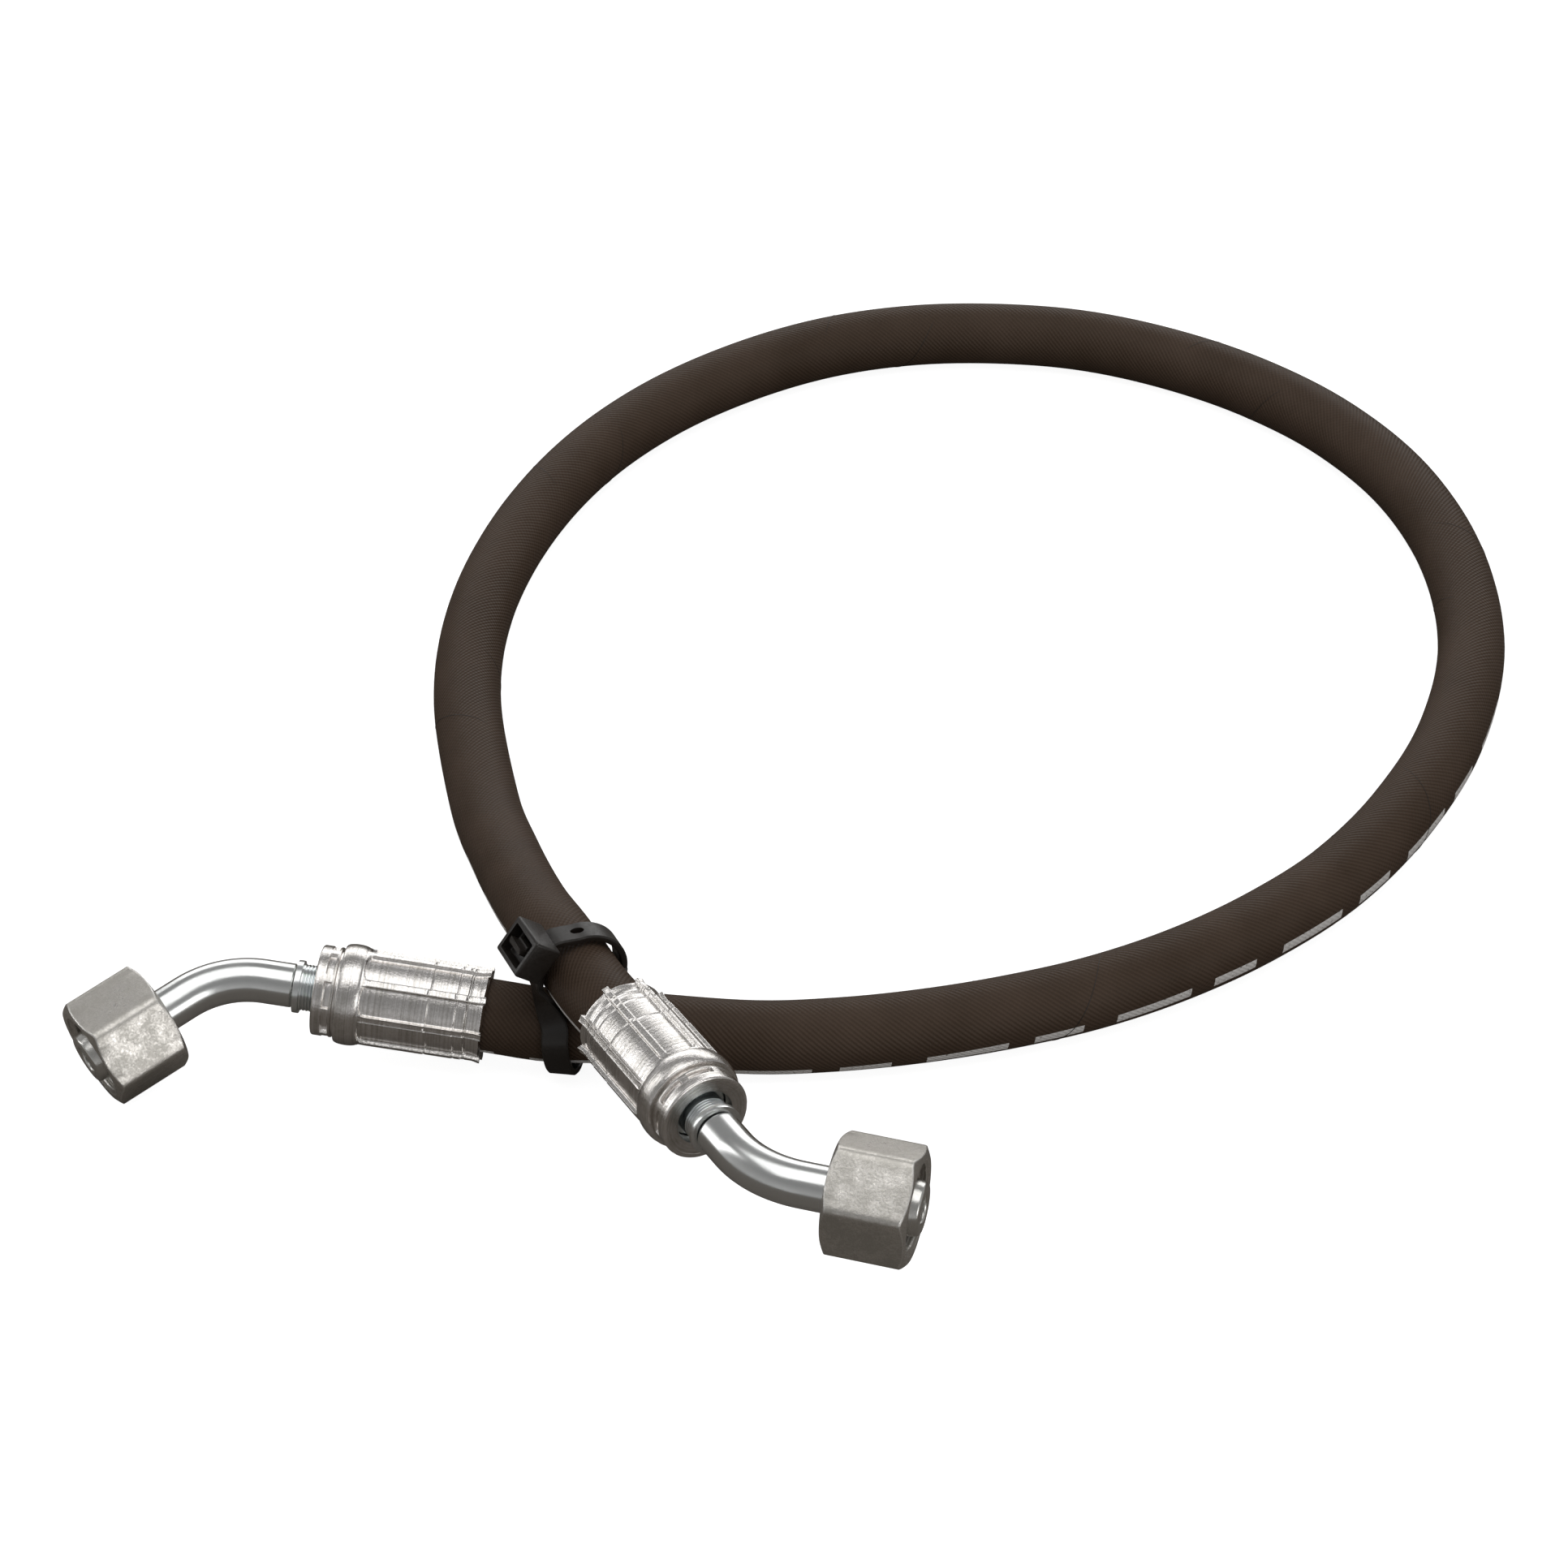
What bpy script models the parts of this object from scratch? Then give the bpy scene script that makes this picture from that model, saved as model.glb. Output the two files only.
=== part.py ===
"""A short hydraulic hose assembly: one wire-braided hose, a crimped 45 degree swivel fitting on
each end, and a cable tie where the two ends cross. Metres, +Z up, standing on z = 0. The origin
is on the floor, under the middle of the two fittings."""

import math

import bmesh
import bpy
from mathutils import Matrix, Vector

MM = 0.001
GAP = 0.3 * MM                    # clearance left between pieces that touch

# Hose: a liner, one wire braid and a cover, each a tube of its own.
HOSE_RADIUS = 6.7 * MM
COVER_WALL = 1.4 * MM
BRAID_WALL = 0.4 * MM
LINER_WALL = 1.1 * MM
HOSE_SIDES = 12
HOSE_STEP = 24.0 * MM             # distance between rings along the hose

# Ferrule, measured along its axis from the rear edge, where the hose goes in.
FERRULE_LENGTH = 31.0 * MM
FERRULE_WALL = 1.5 * MM
FERRULE_RADIUS = HOSE_RADIUS + GAP + FERRULE_WALL
FERRULE_FLARE = 0.2 * MM          # the rear edge opens by this much,
FLARE_LENGTH = 1.2 * MM           # over this length
BULGE_RADIUS = FERRULE_RADIUS + 0.7 * MM
BULGE_LENGTH = 4.2 * MM
BULGE_SLOPE = 0.8 * MM            # length of the ramp on each side of the bulge
COLLAR_LENGTH = 4.2 * MM
COLLAR_RADIUS = FERRULE_RADIUS - 0.3 * MM
COLLAR_CHAMFER = 0.4 * MM
BULGE_START = FERRULE_LENGTH - COLLAR_LENGTH - BULGE_LENGTH
LIP_LENGTH = 2.4 * MM
FERRULE_SIDES = 24

# Stem: the barbed insert inside the hose and the neck that shows in front of the ferrule.
LINER_BORE_RADIUS = HOSE_RADIUS - COVER_WALL - BRAID_WALL - LINER_WALL - 2 * GAP
STEM_BORE_RADIUS = 0.625 * LINER_BORE_RADIUS
STEM_TIP = 2.0 * MM               # the insert starts this far inside the hose's end
STEM_TIP_WALL = 0.3 * MM
BARB_COUNT = 5
BARB_DEPTH = 0.3 * MM
BARB_SHARE = 0.8                  # the rising part of each barb
SHOULDER_RADIUS = HOSE_RADIUS - GAP
SHOULDER_LENGTH = 1.4 * MM
NECK_RADIUS = 4.2 * MM
LIP_BORE_RADIUS = NECK_RADIUS + 1.0 * MM
NECK_LENGTH = 2.9 * MM            # from the ferrule's front face to the stem's end collar
END_COLLAR_RADIUS = 4.8 * MM
END_COLLAR_LENGTH = 1.1 * MM
STEM_SIDES = 16

# Elbow tube between the stem and the nut.
TUBE_RADIUS = 4.0 * MM
TUBE_BORE_RADIUS = 2.5 * MM
BEND_ANGLE = math.radians(45)
BEND_RADIUS = 19.0 * MM
BEND_LEAD = 5.4 * MM              # straight tube between the stem's end collar and the bend
BEND_TAIL = 5.4 * MM              # straight tube between the bend and the nut's rear face
BEND_STEPS = 8
TUBE_SIDES = 16

# Swivel nut, measured along its axis from its rear face.
THREAD_MOUTH_RADIUS = 8.0 * MM
THREAD_MINOR_RADIUS = THREAD_MOUTH_RADIUS - 0.8 * MM
NUT_WALL = 1.5 * MM               # from the thread to a flat
NUT_ACROSS_FLATS = 2 * (THREAD_MOUTH_RADIUS + NUT_WALL)
NUT_LENGTH = 14.5 * MM
NUT_REAR_WALL = 3.4 * MM
NUT_CHAMFER = math.radians(30)
NUT_FACE_INSET = 0.2 * MM         # the flat end face is this much smaller than the flats
NUT_HOLE_EXTRA = 0.15 * MM        # room beyond GAP round the tube
NUT_SEAT_RIM = 0.65 * MM
NUT_SIDES = 36

# Cone head: the 24 degree sealing cone that the nut pulls into its port, and its O-ring.
CONE_HALF_ANGLE = math.radians(12)
CONE_SHOULDER_RADIUS = THREAD_MINOR_RADIUS - 0.8 * MM
CONE_STEP = 0.4 * MM              # from the shoulder down to the wide end of the cone
CONE_REAR_WALL = 0.8 * MM         # metal round the tube at the head's rear face
HEAD_PLAY = 0.5 * MM              # from the nut's rear wall to the head
CONE_PROUD = 1.1 * MM             # how far the nose stands out of the nut
SOCKET_DEPTH = 3.6 * MM
O_RING_SECTION_RADIUS = 0.75 * MM
O_RING_SEAT_RADIUS = 4.6 * MM
O_RING_START = 8.6 * MM           # the groove's rear wall, from the nut's rear face
HEAD_SIDES = 20

# Cable tie, a single moulding: a strap round both runs of hose, whose tail comes out through
# the window in its own head.
TIE_WIDTH = 4.8 * MM
TIE_THICKNESS = 1.2 * MM
TIE_HEAD_WIDTH = 9.2 * MM         # along the upper hose
TIE_HEAD_LENGTH = 7.4 * MM        # along the strap
TIE_HEAD_HEIGHT = 5.6 * MM
TIE_SLACK = 0.5 * MM              # the strap stands this much clear of the hose, beyond GAP
TIE_STUB = 0.8 * MM               # what is left of the tail above the head
TIE_HEAD_TURN = 140               # degrees round the upper hose, from its right side over the top
TIE_LEAN = 6.0 * MM               # how far the strap leans along the lower hose as it goes under
TIE_UPPER_MM = (16.4, 30.3, 22.0)
TIE_LOWER_MM = (10.8, 30.0, 8.6)

# Where each fitting lies: the middle of the ferrule's rear edge, then the heading, rise and roll
# of the ferrule's axis, and how far the nut is turned on its cone. The heights here, in the route
# and in the tie's two places are for a hose of DRAWN_RADIUS_MM, and place() scales them.
DRAWN_RADIUS_MM = 6.7
STRAIGHT_LEAD = 11.0 * MM         # straight hose behind each ferrule
END_A = {"at": (-1.3, 31.1, 9.7), "heading": 173.9, "rise": 6.2, "roll": -22.2, "nut": 50.9}
END_B = {"at": (23.7, 14.8, 23.6), "heading": -60.3, "rise": 5.2, "roll": -5.5, "nut": 10.0}

# The hose's route on the floor, in millimetres, from end a round the loop to end b.
ROUTE_MM = [
    (21.6, 29.5, 8.3), (45.3, 28.4, 6.9), (61.4, 29.2, 6.7), (77.4, 31.5, 6.7), (93.6, 35.3, 6.7),
    (109.9, 40.7, 6.7), (126.0, 48.5, 6.7), (141.8, 58.9, 6.7), (157.1, 72.4, 6.7), (171.3, 90.9, 6.7),
    (183.6, 114.3, 6.7), (191.3, 142.2, 6.7), (191.4, 171.4, 6.7), (184.5, 197.9, 6.7),
    (172.1, 219.0, 6.7), (156.4, 234.7, 6.7), (138.7, 246.1, 6.7), (119.7, 253.7, 6.7),
    (100.1, 257.0, 6.7), (80.1, 256.2, 6.7), (60.4, 250.5, 6.7), (41.3, 240.1, 6.7), (23.8, 225.6, 6.7),
    (8.8, 206.3, 6.7), (-2.7, 182.2, 6.7), (-9.7, 154.9, 6.7), (-10.8, 126.4, 6.8), (-5.4, 92.3, 8.7),
    (-0.2, 72.6, 12.1), (5.9, 53.3, 16.7), (12.0, 37.9, 21.3),
]


# ---------------------------------------------------------------- helpers

def clear_scene():
    for thing in list(bpy.data.objects):
        bpy.data.objects.remove(thing, do_unlink=True)


def material(name, colour, roughness, metallic):
    made = bpy.data.materials.new(name)
    made.use_nodes = True
    shader = made.node_tree.nodes["Principled BSDF"]
    shader.inputs["Base Color"].default_value = (*colour, 1.0)
    shader.inputs["Roughness"].default_value = roughness
    shader.inputs["Metallic"].default_value = metallic
    return made


def add_object(name, bm, finish, parent=None):
    """Turns bm into an object with outward faces and smooth round sides."""
    bmesh.ops.recalc_face_normals(bm, faces=bm.faces)
    mesh = bpy.data.meshes.new(name)
    bm.to_mesh(mesh)
    bm.free()
    mesh.shade_smooth()
    mesh.set_sharp_from_angle(angle=math.radians(35))
    mesh.materials.append(finish)
    made = bpy.data.objects.new(name, mesh)
    bpy.context.scene.collection.objects.link(made)
    made.parent = parent
    return made


def add_empty(name, location, rotation, parent=None):
    made = bpy.data.objects.new(name, None)
    made.empty_display_size = 10 * MM
    made.location = location
    made.rotation_euler = rotation
    made.parent = parent
    bpy.context.scene.collection.objects.link(made)
    return made


def join_rings(rings, capped=False):
    """Joins equal rings, each to the next. The last joins the first, unless the ends are capped."""
    bm = bmesh.new()
    rows = [[bm.verts.new(point) for point in ring] for ring in rings]
    after = rows[1:] if capped else rows[1:] + rows[:1]
    for row, following in zip(rows, after):
        for i in range(len(row)):
            j = (i + 1) % len(row)
            bm.faces.new((row[i], row[j], following[j], following[i]))
    if capped:
        bm.faces.new(rows[0])
        bm.faces.new(rows[-1])
    return bm


def around_x(x, radius, sides):
    """A ring round the X axis; radius is one number, or one for each side."""
    radii = radius if isinstance(radius, list) else [radius] * sides
    turns = [math.tau * i / sides for i in range(sides)]
    return [Vector((x, r * math.cos(t), r * math.sin(t))) for r, t in zip(radii, turns)]


def turned(profile, sides):
    """A closed outline of (x, radius) points turned about the X axis."""
    return join_rings([around_x(x, radius, sides) for x, radius in profile])


# ---------------------------------------------------------------- routes

def smooth_route(points, samples=12):
    """Catmull-Rom curve through points; its first and last stretches are straight."""
    route = [points[0]]
    for i in range(len(points) - 1):
        start, end = points[i], points[i + 1]
        leave = (end - points[i - 1]) / 2 if i else end - start
        arrive = (points[i + 2] - start) / 2 if i + 2 < len(points) else end - start
        if i == 0:
            arrive = end - start
        if i + 2 == len(points):
            leave = end - start
        for k in range(1, samples + 1):
            t = k / samples
            route.append(start * (2 * t**3 - 3 * t**2 + 1) + leave * (t**3 - 2 * t**2 + t)
                         + end * (3 * t**2 - 2 * t**3) + arrive * (t**3 - t**2))
    return route


def spaced(route, count):
    """count points at equal distances along the route."""
    travelled = [0.0]
    for start, end in zip(route, route[1:]):
        travelled.append(travelled[-1] + (end - start).length)
    chosen = []
    i = 0
    for k in range(count):
        target = travelled[-1] * k / (count - 1)
        while i < len(route) - 2 and travelled[i + 1] < target:
            i += 1
        share = (target - travelled[i]) / (travelled[i + 1] - travelled[i])
        chosen.append(route[i].lerp(route[i + 1], min(share, 1.0)))
    return chosen


def place(point_mm):
    """A point of the drawing in metres, its height scaled with the hose that lies there."""
    x, y, z = point_mm
    return Vector((x * MM, y * MM, z * HOSE_RADIUS / DRAWN_RADIUS_MM))


def route_length(route):
    return sum((end - start).length for start, end in zip(route, route[1:]))


def directions(route):
    """The unit direction at each point of an open route."""
    ways = []
    for i in range(len(route)):
        before = route[max(i - 1, 0)]
        after = route[min(i + 1, len(route) - 1)]
        ways.append((after - before).normalized())
    return ways


def pipe(route, outer, inner, sides):
    """A hollow tube along a route: the outer skin out, then the inner skin back."""
    ways = directions(route)
    side = ways[0].cross(Vector((0, 0, 1))).normalized()
    circles = []
    for point, way in zip(route, ways):
        side = (side - way * side.dot(way)).normalized()
        up = side.cross(way)
        turns = [math.tau * i / sides for i in range(sides)]
        circles.append((point, [side * math.cos(t) + up * math.sin(t) for t in turns]))
    skin = [[point + arm * outer for arm in arms] for point, arms in circles]
    bore = [[point + arm * inner for arm in arms] for point, arms in reversed(circles)]
    return join_rings(skin + bore)


# ---------------------------------------------------------------- places along a fitting

HOSE_END = FERRULE_LENGTH - LIP_LENGTH - SHOULDER_LENGTH - 3 * GAP
STEM_END = FERRULE_LENGTH + NECK_LENGTH + END_COLLAR_LENGTH
BEND_START = STEM_END + GAP + BEND_LEAD
HEAD_REAR = NUT_REAR_WALL + HEAD_PLAY


def swivel_place():
    """The nut's rear face in the fitting's own axes, where the tube bends towards +Y."""
    x = BEND_START + BEND_RADIUS * math.sin(BEND_ANGLE) + BEND_TAIL * math.cos(BEND_ANGLE)
    y = BEND_RADIUS * (1 - math.cos(BEND_ANGLE)) + BEND_TAIL * math.sin(BEND_ANGLE)
    return Vector((x, y, 0))


def end_matrix(end):
    """The fitting's axes in the world: X along the ferrule, Y towards the inside of the bend."""
    turn = Matrix.Rotation(math.radians(end["heading"]), 4, "Z")
    turn @= Matrix.Rotation(math.radians(-end["rise"]), 4, "Y")
    turn @= Matrix.Rotation(math.radians(end["roll"]), 4, "X")
    return Matrix.Translation(place(end["at"])) @ turn


# ---------------------------------------------------------------- pieces of a fitting

def ferrule():
    """The crimped sleeve. Its front lip lies in front of the stem's shoulder and holds it."""
    front = FERRULE_LENGTH
    bulge_end = BULGE_START + BULGE_LENGTH
    inside = HOSE_RADIUS + GAP
    outline = [
        (0, FERRULE_RADIUS + FERRULE_FLARE), (FLARE_LENGTH, FERRULE_RADIUS),
        (BULGE_START, FERRULE_RADIUS), (BULGE_START + BULGE_SLOPE, BULGE_RADIUS),
        (bulge_end - BULGE_SLOPE, BULGE_RADIUS), (bulge_end, COLLAR_RADIUS),
        (front - COLLAR_CHAMFER, COLLAR_RADIUS), (front, COLLAR_RADIUS - COLLAR_CHAMFER),
        (front, LIP_BORE_RADIUS), (front - LIP_LENGTH, LIP_BORE_RADIUS),
        (front - LIP_LENGTH, inside), (0, inside),
    ]
    return turned(outline, FERRULE_SIDES)


def stem():
    """Insert with barbs, the shoulder held by the ferrule's lip, the neck and the end collar."""
    insert = LINER_BORE_RADIUS - GAP
    shoulder_end = FERRULE_LENGTH - LIP_LENGTH - GAP
    shoulder_start = shoulder_end - SHOULDER_LENGTH
    pitch = (shoulder_start - 3 * STEM_TIP) / BARB_COUNT
    outline = [(STEM_TIP, STEM_BORE_RADIUS + STEM_TIP_WALL)]
    for i in range(BARB_COUNT):
        start = 1.5 * STEM_TIP + i * pitch
        outline += [(start, insert - BARB_DEPTH), (start + BARB_SHARE * pitch, insert)]
    outline += [
        (shoulder_start, insert), (shoulder_start, SHOULDER_RADIUS),
        (shoulder_end, SHOULDER_RADIUS), (shoulder_end, NECK_RADIUS),
        (STEM_END - END_COLLAR_LENGTH, NECK_RADIUS),
        (STEM_END - END_COLLAR_LENGTH, END_COLLAR_RADIUS), (STEM_END, END_COLLAR_RADIUS),
        (STEM_END, STEM_BORE_RADIUS), (STEM_TIP, STEM_BORE_RADIUS),
    ]
    return turned(outline, STEM_SIDES)


def elbow_tube():
    """Bent tube from the stem's end collar into the cone head's socket."""
    route = [Vector((STEM_END + GAP, 0, 0))]
    for i in range(BEND_STEPS + 1):
        turn = BEND_ANGLE * i / BEND_STEPS
        x = BEND_START + BEND_RADIUS * math.sin(turn)
        route.append(Vector((x, BEND_RADIUS * (1 - math.cos(turn)), 0)))
    way = Vector((math.cos(BEND_ANGLE), math.sin(BEND_ANGLE), 0))
    route.append(swivel_place() + way * (HEAD_REAR + SOCKET_DEPTH - GAP))
    return pipe(route, TUBE_RADIUS, TUBE_BORE_RADIUS, TUBE_SIDES)


def cone_head():
    """Socket for the tube, 45 degree shoulder, O-ring groove and the 24 degree nose."""
    rear_radius = TUBE_RADIUS + GAP + CONE_REAR_WALL
    flare_end = HEAD_REAR + CONE_SHOULDER_RADIUS - rear_radius
    groove_end = O_RING_START + 2 * (O_RING_SECTION_RADIUS + GAP)
    nose = NUT_LENGTH + CONE_PROUD
    slope = math.tan(CONE_HALF_ANGLE)
    cone_radius = CONE_SHOULDER_RADIUS - CONE_STEP
    groove_edge = cone_radius - (groove_end - O_RING_START) * slope
    nose_radius = cone_radius - (nose - O_RING_START) * slope
    socket_end = HEAD_REAR + SOCKET_DEPTH
    outline = [
        (HEAD_REAR, rear_radius), (flare_end, CONE_SHOULDER_RADIUS),
        (O_RING_START - 2 * CONE_STEP, CONE_SHOULDER_RADIUS), (O_RING_START, cone_radius),
        (O_RING_START, O_RING_SEAT_RADIUS), (groove_end, O_RING_SEAT_RADIUS),
        (groove_end, groove_edge), (nose, nose_radius), (nose, TUBE_BORE_RADIUS),
        (socket_end, TUBE_BORE_RADIUS), (socket_end, TUBE_RADIUS + GAP),
        (HEAD_REAR, TUBE_RADIUS + GAP),
    ]
    return turned(outline, HEAD_SIDES)


def o_ring():
    """Seal in the cone head's groove."""
    middle = O_RING_START + GAP + O_RING_SECTION_RADIUS
    centre = O_RING_SEAT_RADIUS + GAP + O_RING_SECTION_RADIUS
    sides = 8
    outline = []
    for i in range(sides):
        turn = math.tau * i / sides
        outline.append((middle - O_RING_SECTION_RADIUS * math.cos(turn),
                        centre + O_RING_SECTION_RADIUS * math.sin(turn)))
    return turned(outline, HEAD_SIDES)


def hexagon_radii():
    """The nut's outside radius in each of its NUT_SIDES directions; a flat faces +Y."""
    half = NUT_ACROSS_FLATS / 2
    sixth = math.tau / 6
    radii = []
    for i in range(NUT_SIDES):
        turn = math.tau * i / NUT_SIDES
        off_flat = (turn + sixth / 2) % sixth - sixth / 2
        radii.append(half / math.cos(off_flat))
    return radii


def chamfered_ring(face_x, inward, radii, circle):
    """The curved edge where the chamfer cone meets the hexagon, near one face of the nut."""
    ring = around_x(face_x, radii, NUT_SIDES)
    for point, radius in zip(ring, radii):
        point.x += inward * (radius - circle) * math.tan(NUT_CHAMFER)
    return ring


def swivel_nut():
    """Hexagon nut, chamfered at both ends, with its rear wall bored for the tube."""
    radii = hexagon_radii()
    circle = NUT_ACROSS_FLATS / 2 - NUT_FACE_INSET
    hole = TUBE_RADIUS + GAP + NUT_HOLE_EXTRA
    seat_radius = hole + NUT_SEAT_RIM
    seat_end = NUT_REAR_WALL + THREAD_MINOR_RADIUS - seat_radius
    mouth = NUT_LENGTH - (THREAD_MOUTH_RADIUS - THREAD_MINOR_RADIUS)
    rings = [
        around_x(0, circle, NUT_SIDES), chamfered_ring(0, 1, radii, circle),
        chamfered_ring(NUT_LENGTH, -1, radii, circle), around_x(NUT_LENGTH, circle, NUT_SIDES),
    ]
    inside = [(NUT_LENGTH, THREAD_MOUTH_RADIUS), (mouth, THREAD_MINOR_RADIUS),
              (seat_end, THREAD_MINOR_RADIUS), (NUT_REAR_WALL, seat_radius),
              (NUT_REAR_WALL, hole), (0, hole)]
    rings += [around_x(x, radius, NUT_SIDES) for x, radius in inside]
    return join_rings(rings)


def add_fitting(letter, end, finishes):
    """The six pieces of one end, on an empty that gives the fitting's axes."""
    zinc, zinc_dull, seal = finishes
    location, rotation, _ = end_matrix(end).decompose()
    base = add_empty("end_" + letter, location, rotation.to_euler())
    swivel = add_empty("swivel_" + letter, swivel_place(), (0, 0, BEND_ANGLE), base)
    add_object("ferrule_" + letter, ferrule(), zinc, base)
    add_object("stem_" + letter, stem(), zinc, base)
    add_object("elbow_tube_" + letter, elbow_tube(), zinc, base)
    add_object("cone_head_" + letter, cone_head(), zinc, swivel)
    add_object("o_ring_" + letter, o_ring(), seal, swivel)
    nut = add_object("swivel_nut_" + letter, swivel_nut(), zinc_dull, swivel)
    nut.rotation_euler.x = math.radians(end["nut"])


# ---------------------------------------------------------------- hose and tie

def hose_points():
    """Evenly spaced points from inside ferrule a, round the loop and into ferrule b."""
    ends = []
    for end in (END_A, END_B):
        axes = end_matrix(end)
        ends.append([axes @ Vector((x, 0, 0)) for x in (HOSE_END, 0, -STRAIGHT_LEAD)])
    middle = [place(point) for point in ROUTE_MM]
    route = smooth_route(ends[0] + middle + ends[1][::-1])
    return spaced(route, round(route_length(route) / HOSE_STEP) + 1)


def add_hose(points, finishes):
    cover_finish, braid_finish, liner_finish = finishes
    outer = HOSE_RADIUS
    for name, wall, finish in (("hose_cover", COVER_WALL, cover_finish),
                               ("wire_braid", BRAID_WALL, braid_finish),
                               ("inner_tube", LINER_WALL, liner_finish)):
        add_object(name, pipe(points, outer, outer - wall, HOSE_SIDES), finish)
        outer -= wall + GAP


def hose_frame(points, target):
    """The hose's centre nearest to target, with its direction and its sideways and upward arms."""
    best = None
    for start, end in zip(points, points[1:]):
        way = end - start
        share = max(0.0, min(1.0, (target - start).dot(way) / way.length_squared))
        spot = start + way * share
        if best is None or (spot - target).length < (best[0] - target).length:
            best = (spot, way.normalized())
    centre, way = best
    side = Vector((0, 0, 1)).cross(way).normalized()
    return centre, way, side, way.cross(side)


def tie_path(upper, lower):
    """Centre points of the strap, each with the direction that its width lies along."""
    reach = HOSE_RADIUS + GAP + TIE_SLACK + TIE_THICKNESS / 2

    def arc(frame, degrees):
        centre, way, side, up = frame
        turns = [math.radians(d) for d in degrees]
        return [(centre + (side * math.cos(t) + up * math.sin(t)) * reach, way) for t in turns]

    centre, way, side, up = upper
    turn = math.radians(TIE_HEAD_TURN)
    out = side * math.cos(turn) + up * math.sin(turn)
    along = side * math.sin(turn) - up * math.cos(turn)
    head_foot = reach + TIE_THICKNESS / 2 + GAP
    head_top = head_foot + TIE_HEAD_HEIGHT
    wall = TIE_HEAD_LENGTH / 4 + TIE_THICKNESS / 2
    # The strap grows out of the head's foot, from half its thickness inside the wall.
    root = (wall - TIE_THICKNESS / 2, head_foot + TIE_THICKNESS * 0.75)
    leaving = (wall + TIE_THICKNESS * 1.2, head_foot - GAP)
    path = [(centre + along * s + out * h, way) for s, h in (root, leaving)]
    path += arc(upper, (92, 78, 62, 44, 26, 8, -10, -28))
    under = arc(lower, (30, 15, 0, -20, -40, -60, -80, -100, -120, -140, -160, -180, -200, -224))
    lean = TIE_LEAN / len(under)
    path += [(point + way * (TIE_LEAN - lean * i), way) for i, (point, way) in enumerate(under)]
    path += arc(upper, (191, 175, 160, 149))
    inside_head = head_foot + TIE_HEAD_HEIGHT / 6
    path += [(centre + out * h, way) for h in (inside_head, head_top + TIE_STUB)]
    return path, (centre + out * (head_top - TIE_HEAD_HEIGHT / 2), way, along, out)


def strap(path):
    """A flat band along the path."""
    ways = directions([point for point, _ in path])
    rings = []
    for (point, width), way in zip(path, ways):
        across = (width - way * width.dot(way)).normalized() * (TIE_WIDTH / 2)
        thick = way.cross(across).normalized() * (TIE_THICKNESS / 2)
        rings.append([point + across + thick, point - across + thick,
                      point - across - thick, point + across - thick])
    return join_rings(rings, capped=True)


def tie_head(place):
    """A block with a window from its underside to its top."""
    centre, width, along, out = place
    window_width = TIE_WIDTH / 2 + GAP
    window_length = TIE_THICKNESS / 2 + GAP
    rings = []
    for half_width, half_length, level in (
            (TIE_HEAD_WIDTH / 2, TIE_HEAD_LENGTH / 2, -1), (TIE_HEAD_WIDTH / 2, TIE_HEAD_LENGTH / 2, 1),
            (window_width, window_length, 1), (window_width, window_length, -1)):
        middle = centre + out * (level * TIE_HEAD_HEIGHT / 2)
        rings.append([middle + width * (a * half_width) + along * (b * half_length)
                      for a, b in ((1, 1), (-1, 1), (-1, -1), (1, -1))])
    return join_rings(rings)


def add_tie(points, finish):
    upper = hose_frame(points, place(TIE_UPPER_MM))
    lower = hose_frame(points, place(TIE_LOWER_MM))
    path, head_place = tie_path(upper, lower)
    tie = add_object("cable_tie", strap(path), finish)
    head = add_object("tie_head_shape", tie_head(head_place), finish)
    head.hide_render = True
    head.display_type = "WIRE"
    union = tie.modifiers.new("head", "BOOLEAN")
    union.operation = "UNION"
    union.object = head


def main():
    clear_scene()
    zinc = material("zinc_bright", (0.62, 0.61, 0.58), 0.3, 1.0)
    zinc_dull = material("zinc_dull", (0.50, 0.49, 0.46), 0.45, 1.0)
    cover = material("cover_rubber", (0.025, 0.019, 0.016), 0.55, 0.0)
    liner = material("liner_rubber", (0.02, 0.02, 0.02), 0.7, 0.0)
    wire = material("braid_wire", (0.55, 0.47, 0.32), 0.4, 1.0)
    seal = material("seal_rubber", (0.01, 0.01, 0.01), 0.5, 0.0)
    nylon = material("tie_nylon", (0.012, 0.011, 0.010), 0.4, 0.0)
    points = hose_points()
    add_hose(points, (cover, wire, liner))
    add_tie(points, nylon)
    for letter, end in (("a", END_A), ("b", END_B)):
        add_fitting(letter, end, (zinc, zinc_dull, seal))


main()
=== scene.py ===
# %% [markdown]
# # Hydraulic hose assembly
#
# A short pressure hose, laid in a loop on a pale floor, with a crimped swivel fitting on each
# end and a cable tie where the two ends cross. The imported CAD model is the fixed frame: it
# gives the sizes, the two turning nuts and the collision shapes. This notebook builds the
# finely detailed pieces that stand for its plain solids, and their finishes.

# %% Load the frame
import math

import bmesh
import bpy
import numpy as np
from mathutils import Matrix, Vector


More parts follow.
